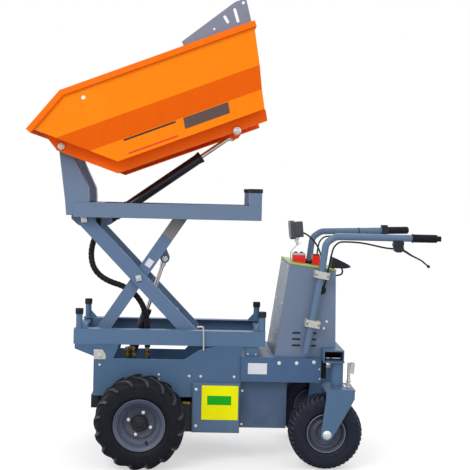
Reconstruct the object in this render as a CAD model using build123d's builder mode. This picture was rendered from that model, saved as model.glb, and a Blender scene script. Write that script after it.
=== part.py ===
from build123d import *
import math
import os

# Walk-behind battery site dumper: tipping skip on a single-X scissor lift, two
# driven wheels at the front, two swivel casters at the back, operator's console
# and handlebars behind. Millimetres, +Z up, front towards -X, the machine's left
# (seen by the operator) towards -Y.
#
# Fore-and-aft stations are measured from a datum that lies DATUM_X from the
# part's own origin, the centre of its footprint on the ground.
DATUM_X = -232.776

# ---------------------------------------------------------------- driving sizes
DRIVE_X, DRIVE_R = -184.5, 205.0
DRIVE_IN, DRIVE_OUT = 210.0, 375.0  # |Y| of the tyre's two faces
CASTER_X, CASTER_R = 657.0, 167.0
SWIVEL_X, SWIVEL_Y = 707.0, 250.0
CASTER_HALF = 63.5  # half the caster tyre's width

SIDE_IN, SIDE_OUT = 197.0, 205.0  # chassis side plates
CHASSIS_FRONT, CHASSIS_REAR = -408.0, 271.0
CHASSIS_FLOOR = 298.0
RAIL_WEB, RAIL_LIP = 200.0, 160.0  # |Y| of a rail's outer face and of its flange tips
RAIL_T = 4.0
LOWER_RAIL = (-503.0, 381.0, 534.0, 604.0)  # x0, x1, z0, z1
UPPER_RAIL = (-515.0, 350.0, 1117.0, 1185.0)

HALF_ARM = 372.0
BETA, ALPHA = math.radians(56.3), math.radians(45.9)  # inner and outer arm slopes
LOW_PIVOT = (-419.0, 528.0)
CENTRE = (
    LOW_PIVOT[0] + HALF_ARM * math.cos(BETA),
    LOW_PIVOT[1] + HALF_ARM * math.sin(BETA),
)
TOP_PIVOT = (
    CENTRE[0] - HALF_ARM * math.cos(ALPHA),
    CENTRE[1] + HALF_ARM * math.sin(ALPHA),
)
OUTER_ROLLER = (
    CENTRE[0] + HALF_ARM * math.cos(ALPHA),
    CENTRE[1] - HALF_ARM * math.sin(ALPHA),
)
INNER_ROLLER = (
    LOW_PIVOT[0] + 2 * HALF_ARM * math.cos(BETA),
    LOW_PIVOT[1] + 2 * HALF_ARM * math.sin(BETA),
)
OUTER_Y = (128.0, 149.0)
INNER_Y = (98.0, 123.0)
OUTER_DEPTH, INNER_DEPTH = 64.0, 58.0
ROLLER_R, PIN_R = 21.0, 10.0
EYE_TUBE_S = 540.0  # along the inner arm from its lower pivot
LIFT_BASE = (-256.0, 431.0)
LIFT_EYE = (-96.0, 922.0)

TILT = math.radians(21.1)  # how far forward the skip stands tipped
SKIP_CORNER = (281.0, 2003.0)  # rear top corner of the rim
SKIP_HALF = 350.0
SKIP_SHEET = 4.0
PIVOT_UW = (-996.5, 222.0)
EYE_UW = (-224.0, 425.0)
HOLE_UW, HOLE_R = (-819.5, 63.5), 9.0
TIP_BASE = (-374.0, 1100.0)
TIP_BARREL = 542.0
LIFT_BARREL = 258.0


def side(y):
    """Upright plane |y| to the left of centre: x runs aft, y runs up, it faces -Y."""
    return Plane(origin=(DATUM_X, -y, 0), x_dir=(1, 0, 0), z_dir=(0, -1, 0))


def deck(z):
    """Level plane: x runs aft from the datum, y runs to the right."""
    return Plane(origin=(DATUM_X, 0, z))


def across(x):
    """Upright plane across the machine: x runs to the right, y runs up."""
    return Plane(origin=(DATUM_X + x, 0, 0), x_dir=(0, 1, 0), z_dir=(1, 0, 0))


def skip_side(y):
    """Side plane of the skip: x runs aft along the rim, y square to it."""
    return Plane(
        origin=(DATUM_X + SKIP_CORNER[0], -y, SKIP_CORNER[1]),
        x_dir=(math.cos(TILT), 0, math.sin(TILT)),
        z_dir=(0, -1, 0),
    )


def skip_point(u, w):
    return (
        SKIP_CORNER[0] + u * math.cos(TILT) + w * math.sin(TILT),
        SKIP_CORNER[1] + u * math.sin(TILT) - w * math.cos(TILT),
    )


def along(a, b, distance):
    """The point that far from a towards b."""
    length = math.dist(a, b)
    return (
        a[0] + (b[0] - a[0]) * distance / length,
        a[1] + (b[1] - a[1]) * distance / length,
    )


def bar_plane(a, b, y):
    """Plane square to the line a-b (side-view points), standing on a, at that y."""
    return Plane(
        origin=(DATUM_X + a[0], y, a[1]),
        x_dir=(0, 1, 0),
        z_dir=(b[0] - a[0], 0, b[1] - a[1]),
    )


SKIP_PIVOT = skip_point(*PIVOT_UW)
TIP_EYE = skip_point(*EYE_UW)
pieces = {}

# -------------------------------------------------------------------- chassis
# Side plates with the long window under the lower rail; the left sill is higher.
with BuildPart() as chassis_sides:
    for y0, sill in ((SIDE_IN, 470.0), (-SIDE_OUT, 445.0)):
        with BuildSketch(side(y0)):
            with BuildLine():
                Polyline(
                    (CHASSIS_FRONT, CHASSIS_FLOOR),
                    (CHASSIS_REAR, CHASSIS_FLOOR),
                    (CHASSIS_REAR, LOWER_RAIL[2]),
                    (150, LOWER_RAIL[2]),
                    (75, 515),
                    (8, sill),
                    (-318, sill),
                    (-298, 520),
                    (-298, LOWER_RAIL[2]),
                    (CHASSIS_FRONT, LOWER_RAIL[2]),
                    close=True,
                )
            make_face()
        extrude(amount=SIDE_OUT - SIDE_IN)
pieces["chassis_sides"] = chassis_sides

with BuildPart() as chassis_floor:
    with BuildSketch(deck(CHASSIS_FLOOR)):
        with Locations(((CHASSIS_FRONT + CHASSIS_REAR) / 2, 0)):
            Rectangle(CHASSIS_REAR - CHASSIS_FRONT, 2 * SIDE_IN)
    extrude(amount=6)
pieces["chassis_floor"] = chassis_floor

with BuildPart() as chassis_ends:
    for x0, top in ((CHASSIS_FRONT, 470.0), (CHASSIS_REAR - 6, 484.0)):
        with BuildSketch(across(x0)):
            with Locations((0, (CHASSIS_FLOOR + 6 + top) / 2)):
                Rectangle(2 * SIDE_IN, top - CHASSIS_FLOOR - 6)
        extrude(amount=6)
pieces["chassis_ends"] = chassis_ends

with BuildPart() as front_gussets:
    with BuildSketch(side(190)):
        with BuildLine():
            Polyline(
                (-497, 534), (-497, 512), (-408, 478), (-408, 534), close=True
            )
        make_face()
    extrude(amount=10)
    mirror(about=Plane.XZ)
pieces["front_gussets"] = front_gussets

with BuildPart() as front_bar:
    with BuildSketch(across(-418)):
        with Locations((0, 268)):
            Rectangle(380, 60)
    extrude(amount=34)
pieces["front_bar"] = front_bar

# Drive unit under the floor, and the axle the wheels turn on.
with BuildPart() as drive_unit:
    with BuildSketch(deck(165)):
        with Locations((-60, 0)):
            Rectangle(208, 190)
    extrude(amount=133)
    with BuildSketch(side(-195)):
        with Locations((DRIVE_X, DRIVE_R)):
            Circle(42)
    extrude(amount=390)
    with BuildSketch(side(-300)):
        with Locations((DRIVE_X, DRIVE_R)):
            Circle(18)
    extrude(amount=600)
pieces["drive_unit"] = drive_unit

with BuildPart() as side_covers:
    with BuildSketch(side(SIDE_OUT)):
        with Locations((158, 253.5)):
            Rectangle(220, 229)
    extrude(amount=20)
    fillet(side_covers.faces().sort_by(Axis.Y)[0].edges(), 6)
    mirror(about=Plane.XZ)
pieces["side_covers"] = side_covers

with BuildPart() as battery_boxes:
    with BuildSketch(deck(142)):
        with Locations((158, 0)):
            Rectangle(216, 2 * SIDE_OUT)
    extrude(amount=CHASSIS_FLOOR - 142)
    with BuildSketch(deck(152)):
        with Locations((380.0, 0)):
            Rectangle(216, 340)
    extrude(amount=377 - 152)
pieces["battery_boxes"] = battery_boxes

# Rear frame: a folded tray upside down between the chassis and the casters.
with BuildPart() as rear_frame:
    with BuildSketch(side(-215)):
        with BuildLine():
            Polyline(
                (271, 377), (640, 377), (640, 491), (271, 491), close=True
            )
        make_face()
    extrude(amount=430)
    with BuildSketch(deck(484)):
        with Locations((687, 0)):
            Rectangle(94, 260)
    extrude(amount=7)
pieces["rear_frame"] = rear_frame

with BuildPart() as rail_feet:
    with BuildSketch(deck(491)):
        with Locations((320, -180), (320, 180)):
            Rectangle(60, 30)
    extrude(amount=LOWER_RAIL[2] - 491)
pieces["rail_feet"] = rail_feet

# Cross beam over the casters, open ended, with a pivot tube under each end.
with BuildPart() as caster_beam:
    with BuildSketch(side(-280)):
        with Locations((687, 515.5)):
            Rectangle(94, 49)
        with Locations((687, 512.5)):
            Rectangle(84, 43, mode=Mode.SUBTRACT)
    extrude(amount=560)
    for y0 in (132.0, -136.0):
        with BuildSketch(side(y0)):
            with Locations((687, 512.5)):
                Rectangle(86, 45)
        extrude(amount=4)
pieces["caster_beam"] = caster_beam

with BuildPart() as pivot_tubes:
    with BuildSketch(deck(380)):
        with Locations((SWIVEL_X, -SWIVEL_Y), (SWIVEL_X, SWIVEL_Y)):
            Circle(28.5)
            Circle(15.5, mode=Mode.SUBTRACT)
    extrude(amount=106)
    with BuildSketch(deck(486)):
        with Locations((687, -SWIVEL_Y), (687, SWIVEL_Y)):
            Rectangle(94, 90)
    extrude(amount=5)
pieces["pivot_tubes"] = pivot_tubes

# ------------------------------------------------------- lower half of the lift
# Channels that face each other, tied across at both ends.
with BuildPart() as lower_rails:
    x0, x1, z0, z1 = LOWER_RAIL
    with BuildSketch(across(x0)):
        with Locations((-(RAIL_WEB + RAIL_LIP) / 2, (z0 + z1) / 2)):
            Rectangle(RAIL_WEB - RAIL_LIP, z1 - z0)
        with Locations((-(RAIL_WEB + RAIL_LIP) / 2 + RAIL_T, (z0 + z1) / 2)):
            Rectangle(RAIL_WEB - RAIL_LIP, z1 - z0 - 2 * RAIL_T, mode=Mode.SUBTRACT)
    extrude(amount=x1 - x0)
    mirror(about=Plane.XZ)
pieces["lower_rails"] = lower_rails

with BuildPart() as lower_ties:
    for x0, x1 in ((-503, -463), (345, 381)):
        with BuildSketch(across(x0)):
            with Locations((0, 569)):
                Rectangle(2 * RAIL_LIP - 0.4, 50)
        extrude(amount=x1 - x0)
pieces["lower_ties"] = lower_ties

with BuildPart() as pivot_brackets:
    with BuildSketch(side(152)):
        with BuildLine():
            Polyline(
                (-455, 604), (-455, 520), (-440, 498), (-398, 498), (-383, 520),
                (-383, 604), close=True,
            )
        make_face()
    extrude(amount=8)
    with BuildSketch(side(INNER_Y[0] - 2)):
        with Locations(LOW_PIVOT):
            Circle(PIN_R)
    extrude(amount=154 - INNER_Y[0] + 2)
    mirror(about=Plane.XZ)
pieces["pivot_brackets"] = pivot_brackets

# Posts that carry the platform when it is down, and their rubber caps.
with BuildPart() as posts:
    for x in (-480.0, 366.0):
        with BuildSketch(deck(LOWER_RAIL[3])):
            with Locations((x, -180)):
                Circle(15)
        extrude(amount=66)
        with BuildSketch(side(176)):
            with BuildLine():
                Polyline(
                    (x - 15, 604),
                    (x + (45 if x < 0 else 15), 604),
                    (x + 14, 638),
                    (x - 14, 638),
                    (x - (15 if x < 0 else 45), 604),
                    close=True,
                )
            make_face()
        extrude(amount=8)
    mirror(about=Plane.XZ)
pieces["posts"] = posts

with BuildPart() as post_caps:
    with BuildSketch(deck(670)):
        with Locations((-480, -180), (-480, 180), (366, -180), (366, 180)):
            Circle(18.5)
    extrude(amount=25)
pieces["post_caps"] = post_caps

with BuildPart() as lift_bracket:
    with BuildSketch(side(26)):
        with BuildLine():
            Polyline(
                (-300, 304), (-205, 304), (-232, 440), (-244, 455), (-268, 455),
                (-280, 440), close=True,
            )
        make_face()
    extrude(amount=8)
    mirror(about=Plane.XZ)
    with BuildSketch(side(-30)):
        with Locations(LIFT_BASE):
            Circle(PIN_R)
    extrude(amount=60)
pieces["lift_bracket"] = lift_bracket

# Valve block with the ports of the lift's hoses.
with BuildPart() as manifold:
    with BuildSketch(deck(304)):
        with Locations((-215, -66)):
            Rectangle(140, 44)
    extrude(amount=130)
    with BuildSketch(deck(434)):
        with Locations((-265, -66), (-235, -66), (-170, -66)):
            RegularPolygon(13, 6)
    extrude(amount=26)
    with BuildSketch(deck(460)):
        with Locations((-265, -66), (-235, -66), (-170, -66)):
            Circle(10)
    extrude(amount=40)
pieces["manifold"] = manifold

# ------------------------------------------------------------------ inner arms
with BuildPart() as inner_arms:
    with BuildSketch(side(INNER_Y[0])):
        with Locations(CENTRE):
            SlotCenterToCenter(2 * HALF_ARM, INNER_DEPTH, rotation=math.degrees(BETA))
        with Locations(LOW_PIVOT):
            Circle(PIN_R + 0.5, mode=Mode.SUBTRACT)
    extrude(amount=INNER_Y[1] - INNER_Y[0])
    mirror(about=Plane.XZ)
    # shaft between the arms at their rollers, and the tube that carries the lift eye
    eye_tube = along(LOW_PIVOT, INNER_ROLLER, EYE_TUBE_S)
    for centre, radius in ((INNER_ROLLER, 12.0), (eye_tube, 20.0)):
        with BuildSketch(side(-INNER_Y[0])):
            with Locations(centre):
                Circle(radius)
        extrude(amount=2 * INNER_Y[0])
    # ears either side of the lift cylinder's eye
    ear_angle = math.degrees(
        math.atan2(LIFT_EYE[1] - eye_tube[1], LIFT_EYE[0] - eye_tube[0])
    )
    ear_mid = ((eye_tube[0] + LIFT_EYE[0]) / 2, (eye_tube[1] + LIFT_EYE[1]) / 2)
    for y0 in (22.0, -30.0):
        with BuildSketch(side(y0)):
            with Locations(ear_mid):
                SlotCenterToCenter(
                    math.dist(eye_tube, LIFT_EYE), 44, rotation=ear_angle
                )
        extrude(amount=8)
    # pin ends outside the ears, and the middle pins that carry the outer arms
    for y0, y1 in ((30.0, 42.0), (-42.0, -30.0)):
        with BuildSketch(side(y0)):
            with Locations(LIFT_EYE):
                Circle(15)
        extrude(amount=y1 - y0)
    for y0, y1 in ((INNER_Y[1], 150.0), (-150.0, -INNER_Y[1])):
        with BuildSketch(side(y0)):
            with Locations(CENTRE):
                Circle(PIN_R)
        extrude(amount=y1 - y0)
    for y0 in (149.6, -156.6):
        with BuildSketch(side(y0)):
            with Locations(CENTRE):
                Circle(15)
        extrude(amount=7)
    for y0 in (INNER_Y[1], -194.0):
        with BuildSketch(side(y0)):
            with Locations(INNER_ROLLER):
                Circle(PIN_R)
        extrude(amount=194 - INNER_Y[1])
pieces["inner_arms"] = inner_arms

with BuildPart() as inner_rollers:
    for y0 in (162.0, -192.0):
        with BuildSketch(side(y0)):
            with Locations(INNER_ROLLER):
                Circle(ROLLER_R)
                Circle(PIN_R, mode=Mode.SUBTRACT)
        extrude(amount=30)
pieces["inner_rollers"] = inner_rollers

# ------------------------------------------------------------------ outer arms
with BuildPart() as outer_arms:
    with BuildSketch(side(OUTER_Y[0])):
        with Locations(CENTRE):
            SlotCenterToCenter(2 * HALF_ARM, OUTER_DEPTH, rotation=-math.degrees(ALPHA))
        with Locations(CENTRE, TOP_PIVOT):
            Circle(PIN_R + 0.5, mode=Mode.SUBTRACT)
    extrude(amount=OUTER_Y[1] - OUTER_Y[0])
    mirror(about=Plane.XZ)
    for centre, radius in (
        (OUTER_ROLLER, 12.0),
        (along(CENTRE, OUTER_ROLLER, 250), 15.0),
    ):
        with BuildSketch(side(-OUTER_Y[0])):
            with Locations(centre):
                Circle(radius)
        extrude(amount=2 * OUTER_Y[0])
    for y0 in (OUTER_Y[1], -194.0):
        with BuildSketch(side(y0)):
            with Locations(OUTER_ROLLER):
                Circle(PIN_R)
        extrude(amount=194 - OUTER_Y[1])
pieces["outer_arms"] = outer_arms

with BuildPart() as outer_rollers:
    for y0 in (162.0, -192.0):
        with BuildSketch(side(y0)):
            with Locations(OUTER_ROLLER):
                Circle(ROLLER_R)
                Circle(PIN_R, mode=Mode.SUBTRACT)
        extrude(amount=30)
pieces["outer_rollers"] = outer_rollers

# -------------------------------------------------------------------- platform
with BuildPart() as platform_rails:
    x0, x1, z0, z1 = UPPER_RAIL
    with BuildSketch(across(x0)):
        with Locations((-(RAIL_WEB + RAIL_LIP) / 2, (z0 + z1) / 2)):
            Rectangle(RAIL_WEB - RAIL_LIP, z1 - z0)
        with Locations((-(RAIL_WEB + RAIL_LIP) / 2 + RAIL_T, (z0 + z1) / 2)):
            Rectangle(RAIL_WEB - RAIL_LIP, z1 - z0 - 2 * RAIL_T, mode=Mode.SUBTRACT)
    extrude(amount=x1 - x0)
    mirror(about=Plane.XZ)
pieces["platform_rails"] = platform_rails

with BuildPart() as platform_ties:
    for x0, x1 in ((-515, -475), (-440, -396), (310, 350)):
        with BuildSketch(across(x0)):
            with Locations((0, 1165)):
                Rectangle(2 * RAIL_LIP - 0.4, 40)
        extrude(amount=x1 - x0)
    # clevis for the tip cylinder's base
    with BuildSketch(side(28)):
        with BuildLine():
            Polyline(
                (-420, 1150), (-392, 1082), (-380, 1076), (-366, 1076), (-352, 1086),
                (-352, 1106), (-396, 1180), (-420, 1180), close=True,
            )
        make_face()
    extrude(amount=8)
    mirror(about=Plane.XZ)
    with BuildSketch(side(-34)):
        with Locations(TIP_BASE):
            Circle(PIN_R)
    extrude(amount=68)
    # port that the lift hose hangs from
    with BuildSketch(side(56)):
        with BuildLine():
            Polyline(
                (-428, 1114), (-398, 1114), (-398, 1160), (-428, 1160), close=True,
            )
        make_face()
    extrude(amount=20)
pieces["platform_ties"] = platform_ties

# Plates under the front ties, inside the outer arms, with the arms' top pins.
with BuildPart() as hanging_brackets:
    with BuildSketch(side(113)):
        with BuildLine():
            Polyline(
                (-534, 1145), (-534, 1106), (-505, 1080), (-484, 1070), (-460, 1072),
                (-444, 1088), (-440, 1117), (-440, 1145), close=True,
            )
        make_face()
    extrude(amount=9)
    with BuildSketch(side(112)):
        with Locations(TOP_PIVOT):
            Circle(PIN_R)
    extrude(amount=39)
    with BuildSketch(side(149.6)):
        with Locations(TOP_PIVOT):
            Circle(15)
    extrude(amount=6)
    mirror(about=Plane.XZ)
pieces["hanging_brackets"] = hanging_brackets

with BuildPart() as tip_posts:
    with BuildSketch(side(140)):
        with BuildLine():
            Polyline(
                (-588, 1434), (-583, 1405), (-554, 1191), (-548, 1125), (-515.2, 1125),
                (-515.2, 1185.2), (-448, 1185.2), (-448, 1215), (-452, 1255),
                (-518, 1394), (-550, 1434), close=True,
            )
        make_face()
        with Locations(SKIP_PIVOT):
            Circle(20)
    extrude(amount=58)
    with BuildSketch(side(196)):
        with Locations(SKIP_PIVOT):
            Circle(PIN_R)
    extrude(amount=46)
    with BuildSketch(side(240.6)):
        with Locations(SKIP_PIVOT):
            Circle(15)
    extrude(amount=7)
    mirror(about=Plane.XZ)
pieces["tip_posts"] = tip_posts

with BuildPart() as rest_stubs:
    with BuildSketch(deck(UPPER_RAIL[3])):
        with Locations((321, -178)):
            Rectangle(58, 40)
    extrude(amount=61)
    mirror(about=Plane.XZ)
pieces["rest_stubs"] = rest_stubs

with BuildPart() as rest_pads:
    with BuildSketch(deck(UPPER_RAIL[3] + 61)):
        with Locations((321, -178)):
            Rectangle(64, 44)
    extrude(amount=18)
    mirror(about=Plane.XZ)
pieces["rest_pads"] = rest_pads

# ------------------------------------------------------------------------ skip
# Side views give u along the rim and w down from it; sketches take (u, -w).
FLOOR_W = 362.0  # underside of the floor, inside the side panels' lower edges
SKIRT_W = 377.0
NOSE_TIP = (-1093.0, 104.4)
SECTION = Plane(
    origin=(DATUM_X + SKIP_CORNER[0], 0, SKIP_CORNER[1]),
    x_dir=(0, 1, 0),
    z_dir=(-math.cos(TILT), 0, -math.sin(TILT)),
)

with BuildPart() as cavity:
    with BuildSketch(skip_side(0)):
        with BuildLine():
            Polyline(
                (2.2, 30), (-79.1, -358), (-792.6, -358), (-1200, -6.8), (-1200, 30),
                close=True,
            )
        make_face()
    extrude(amount=SKIP_HALF, both=True)
    with BuildSketch(SECTION):
        with BuildLine():
            Polyline(
                (-346, -40), (-346, 189), (-296, 289), (-296, 420), (296, 420),
                (296, 289), (346, 189), (346, -40), close=True,
            )
        make_face()
    extrude(amount=1300, both=True, mode=Mode.INTERSECT)

with BuildPart() as skip_tub:
    with BuildSketch(skip_side(0)):
        with BuildLine():
            Polyline(
                (0, 0), (-906, 0), (NOSE_TIP[0], -NOSE_TIP[1]), (-776.6, -SKIRT_W),
                (-79, -SKIRT_W), close=True,
            )
        make_face()
    extrude(amount=SKIP_HALF, both=True)
    with BuildSketch(SECTION):
        with BuildLine():
            Polyline(
                (-350, -20), (-350, 190), (-300, 290), (-300, 400), (300, 400),
                (300, 290), (350, 190), (350, -20), close=True,
            )
        make_face()
    extrude(amount=1200, mode=Mode.INTERSECT)
    add(cavity.part, mode=Mode.SUBTRACT)
    # the floor stands a little above the skirts of the side panels
    with BuildSketch(skip_side(0)):
        with BuildLine():
            Polyline(
                (-800, -FLOOR_W), (0, -FLOOR_W), (0, -400), (-800, -400),
                close=True,
            )
        make_face()
    extrude(amount=296, both=True, mode=Mode.SUBTRACT)
    # lashing holes through the side panels
    with BuildSketch(skip_side(0)):
        with Locations((HOLE_UW[0], -HOLE_UW[1])):
            Circle(HOLE_R)
    extrude(amount=SKIP_HALF + 1, both=True, mode=Mode.SUBTRACT)
pieces["skip_tub"] = skip_tub

with BuildPart() as skip_rim:
    with BuildSketch(skip_side(SKIP_HALF)):
        with BuildLine():
            Polyline(
                (4, 0), (-906, 0), (-1103, -110), (-1090.3, -132.7), (-899.2, -26),
                (4, -26), close=True,
            )
        make_face()
    extrude(amount=12)
    mirror(about=Plane.XZ)
    with BuildSketch(skip_side(-SKIP_HALF)):
        with BuildLine():
            Polyline((0.2, 0), (4, 0), (4, -26), (0.2, -26), close=True)
        make_face()
        with BuildLine():
            Polyline(
                (-1103, -110), (-1093.2, -104.6), (-1080, -116), (-1090.3, -132.7),
                close=True,
            )
        make_face()
    extrude(amount=2 * SKIP_HALF)
pieces["skip_rim"] = skip_rim

# Side channels under the tub, following the nose and the floor.
with BuildPart() as skip_frame:
    with BuildSketch(skip_side(234)):
        with BuildLine():
            Polyline(
                (-1052, -139.9), (-794, -362.3), (-79, -362.3), (-70, -380),
                (-78, -427), (-800, -423), (-945, -300), (-1022, -234), close=True,
            )
        make_face()
        with Locations((PIVOT_UW[0], -PIVOT_UW[1])):
            Circle(PIN_R + 0.5, mode=Mode.SUBTRACT)
    extrude(amount=6)
    with BuildSketch(skip_side(205)):
        with BuildLine():
            Polyline(
                (-945, -300), (-800, -423), (-78, -427), (-78, -421), (-798, -417),
                (-941, -295.5), close=True,
            )
        make_face()
    extrude(amount=29)
    mirror(about=Plane.XZ)
    # cross channels
    for u0, u1, y0, y1 in (
        (-700, -650, -234, 234), (-330, -290, -234, -48), (-330, -290, 48, 234)
    ):
        with BuildSketch(skip_side(y0)):
            with Locations(((u0 + u1) / 2, -(362.3 + 405) / 2)):
                Rectangle(u1 - u0, 405 - 362.3)
        extrude(amount=y1 - y0)
    # ears and pin tubes at the tip cylinder's eye; the middle stays open
    for y0 in (20.0, -30.0):
        with BuildSketch(skip_side(y0)):
            with BuildLine():
                Polyline(
                    (-270, -362.3), (-180, -362.3), (-196, -436), (-212, -448),
                    (-236, -448), (-252, -436), close=True,
                )
            make_face()
        extrude(amount=10)
    for y0, y1 in ((30.0, 234.0), (-234.0, -30.0)):
        with BuildSketch(skip_side(y0)):
            with Locations((EYE_UW[0], -EYE_UW[1])):
                Circle(12)
        extrude(amount=y1 - y0)
    for y0 in (240.0, -247.0):
        with BuildSketch(skip_side(y0)):
            with Locations((EYE_UW[0], -EYE_UW[1])):
                Circle(17)
        extrude(amount=7)
pieces["skip_frame"] = skip_frame

with BuildPart() as spill_guard:
    with BuildSketch(skip_side(342)):
        with BuildLine():
            Polyline(
                (-326, -36), (-328, 22), (-49, 107), (-18, 107), (2, 100), (-14, -36),
                close=True,
            )
        make_face()
        with Locations((-15, 91.6), (-18, 31)):
            Circle(7, mode=Mode.SUBTRACT)
        with Locations((-175, 26.6)):
            Circle(5, mode=Mode.SUBTRACT)
        with Locations((-111, 48)):
            SlotCenterToCenter(26, 13, rotation=100, mode=Mode.SUBTRACT)
        with Locations((-63, 50)):
            SlotCenterToCenter(52, 13, rotation=86, mode=Mode.SUBTRACT)
    extrude(amount=4)
    with BuildSketch(skip_side(318)):
        with BuildLine():
            Polyline((-328, 22), (-49, 107), (-49, 103.4), (-328, 18.4), close=True)
        make_face()
    extrude(amount=24)
    mirror(about=Plane.XZ)
    with BuildSketch(skip_side(-342)):
        with BuildLine():
            Polyline((2, 100), (-2, 100), (-18, -36), (-14, -36), close=True)
        make_face()
    extrude(amount=684)
pieces["spill_guard"] = spill_guard

# ------------------------------------------------------------------- cylinders
# name, base pin, eye, barrel length, barrel radius, rod radius, rod length
CYLINDERS = (
    ("tip", TIP_BASE, TIP_EYE, TIP_BARREL, 25.0, 11.0, 560.0),
    ("lift", LIFT_BASE, LIFT_EYE, LIFT_BARREL, 22.0, 10.0, 340.0),
)
for name, base, eye, barrel_length, barrel_r, rod_r, rod_length in CYLINDERS:
    reach = math.dist(base, eye)
    with BuildPart() as barrel:
        with BuildSketch(bar_plane(base, eye, 0)):
            Circle(barrel_r)
        extrude(amount=barrel_length)
        with BuildSketch(bar_plane(base, eye, 0).offset(barrel_length - 22)):
            Circle(barrel_r + 1.5)
            Circle(barrel_r - 1, mode=Mode.SUBTRACT)
        extrude(amount=16)
        with BuildSketch(side(-22)):
            with Locations(base):
                Circle(24)
        extrude(amount=44)
        with BuildSketch(bar_plane(base, eye, 0).offset(30)):
            Circle(rod_r + 0.6)
        extrude(amount=barrel_length, mode=Mode.SUBTRACT)
        with BuildSketch(side(-30)):
            with Locations(base):
                Circle(PIN_R + 0.5)
        extrude(amount=60, mode=Mode.SUBTRACT)
    pieces[f"{name}_barrel"] = barrel
    with BuildPart() as rod:
        with BuildSketch(bar_plane(base, eye, 0).offset(reach - rod_length)):
            Circle(rod_r)
        extrude(amount=rod_length)
        with BuildSketch(bar_plane(base, eye, 0).offset(reach - 40)):
            Circle(rod_r + 4)
        extrude(amount=26)
        with BuildSketch(side(-15)):
            with Locations(eye):
                Circle(18)
        extrude(amount=30)
        with BuildSketch(side(-20)):
            with Locations(eye):
                Circle(9)
        extrude(amount=40, mode=Mode.SUBTRACT)
    pieces[f"{name}_rod"] = rod

# Hose across the lift, in a spiral sleeve: straight runs and tangent arcs.
HOSE_Y, HOSE_R = -66.0, 14.0
HOSE_ROUTE = (
    (-413, 1114), (-413, 1074), (-423, 1032), (-440, 986), (-446, 932), (-434, 876),
    (-399, 834), (-350, 808), (-292, 791), (-240, 760), (-202, 715), (-180, 660),
    (-171, 602), (-170, 548), (-169, 501),
)  # (x, z), from the platform's port down to the valve block
hose_radii = []
for a, b, c in zip(HOSE_ROUTE, HOSE_ROUTE[1:], HOSE_ROUTE[2:]):
    turn = math.radians(
        Vector(b[0] - a[0], b[1] - a[1]).get_angle(Vector(c[0] - b[0], c[1] - b[1]))
    )
    hose_radii.append(0.45 * min(math.dist(a, b), math.dist(b, c)) / math.tan(turn / 2))
print("hose radii", [round(r) for r in hose_radii])
with BuildPart() as lift_hose:
    with BuildLine(side(-HOSE_Y)):
        FilletPolyline(*HOSE_ROUTE, radius=hose_radii)
    with BuildSketch(
        Plane(
            origin=(DATUM_X + HOSE_ROUTE[0][0], HOSE_Y, HOSE_ROUTE[0][1]),
            z_dir=(
                HOSE_ROUTE[1][0] - HOSE_ROUTE[0][0],
                0,
                HOSE_ROUTE[1][1] - HOSE_ROUTE[0][1],
            ),
        )
    ):
        Circle(HOSE_R)
    sweep()
pieces["lift_hose"] = lift_hose

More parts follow.
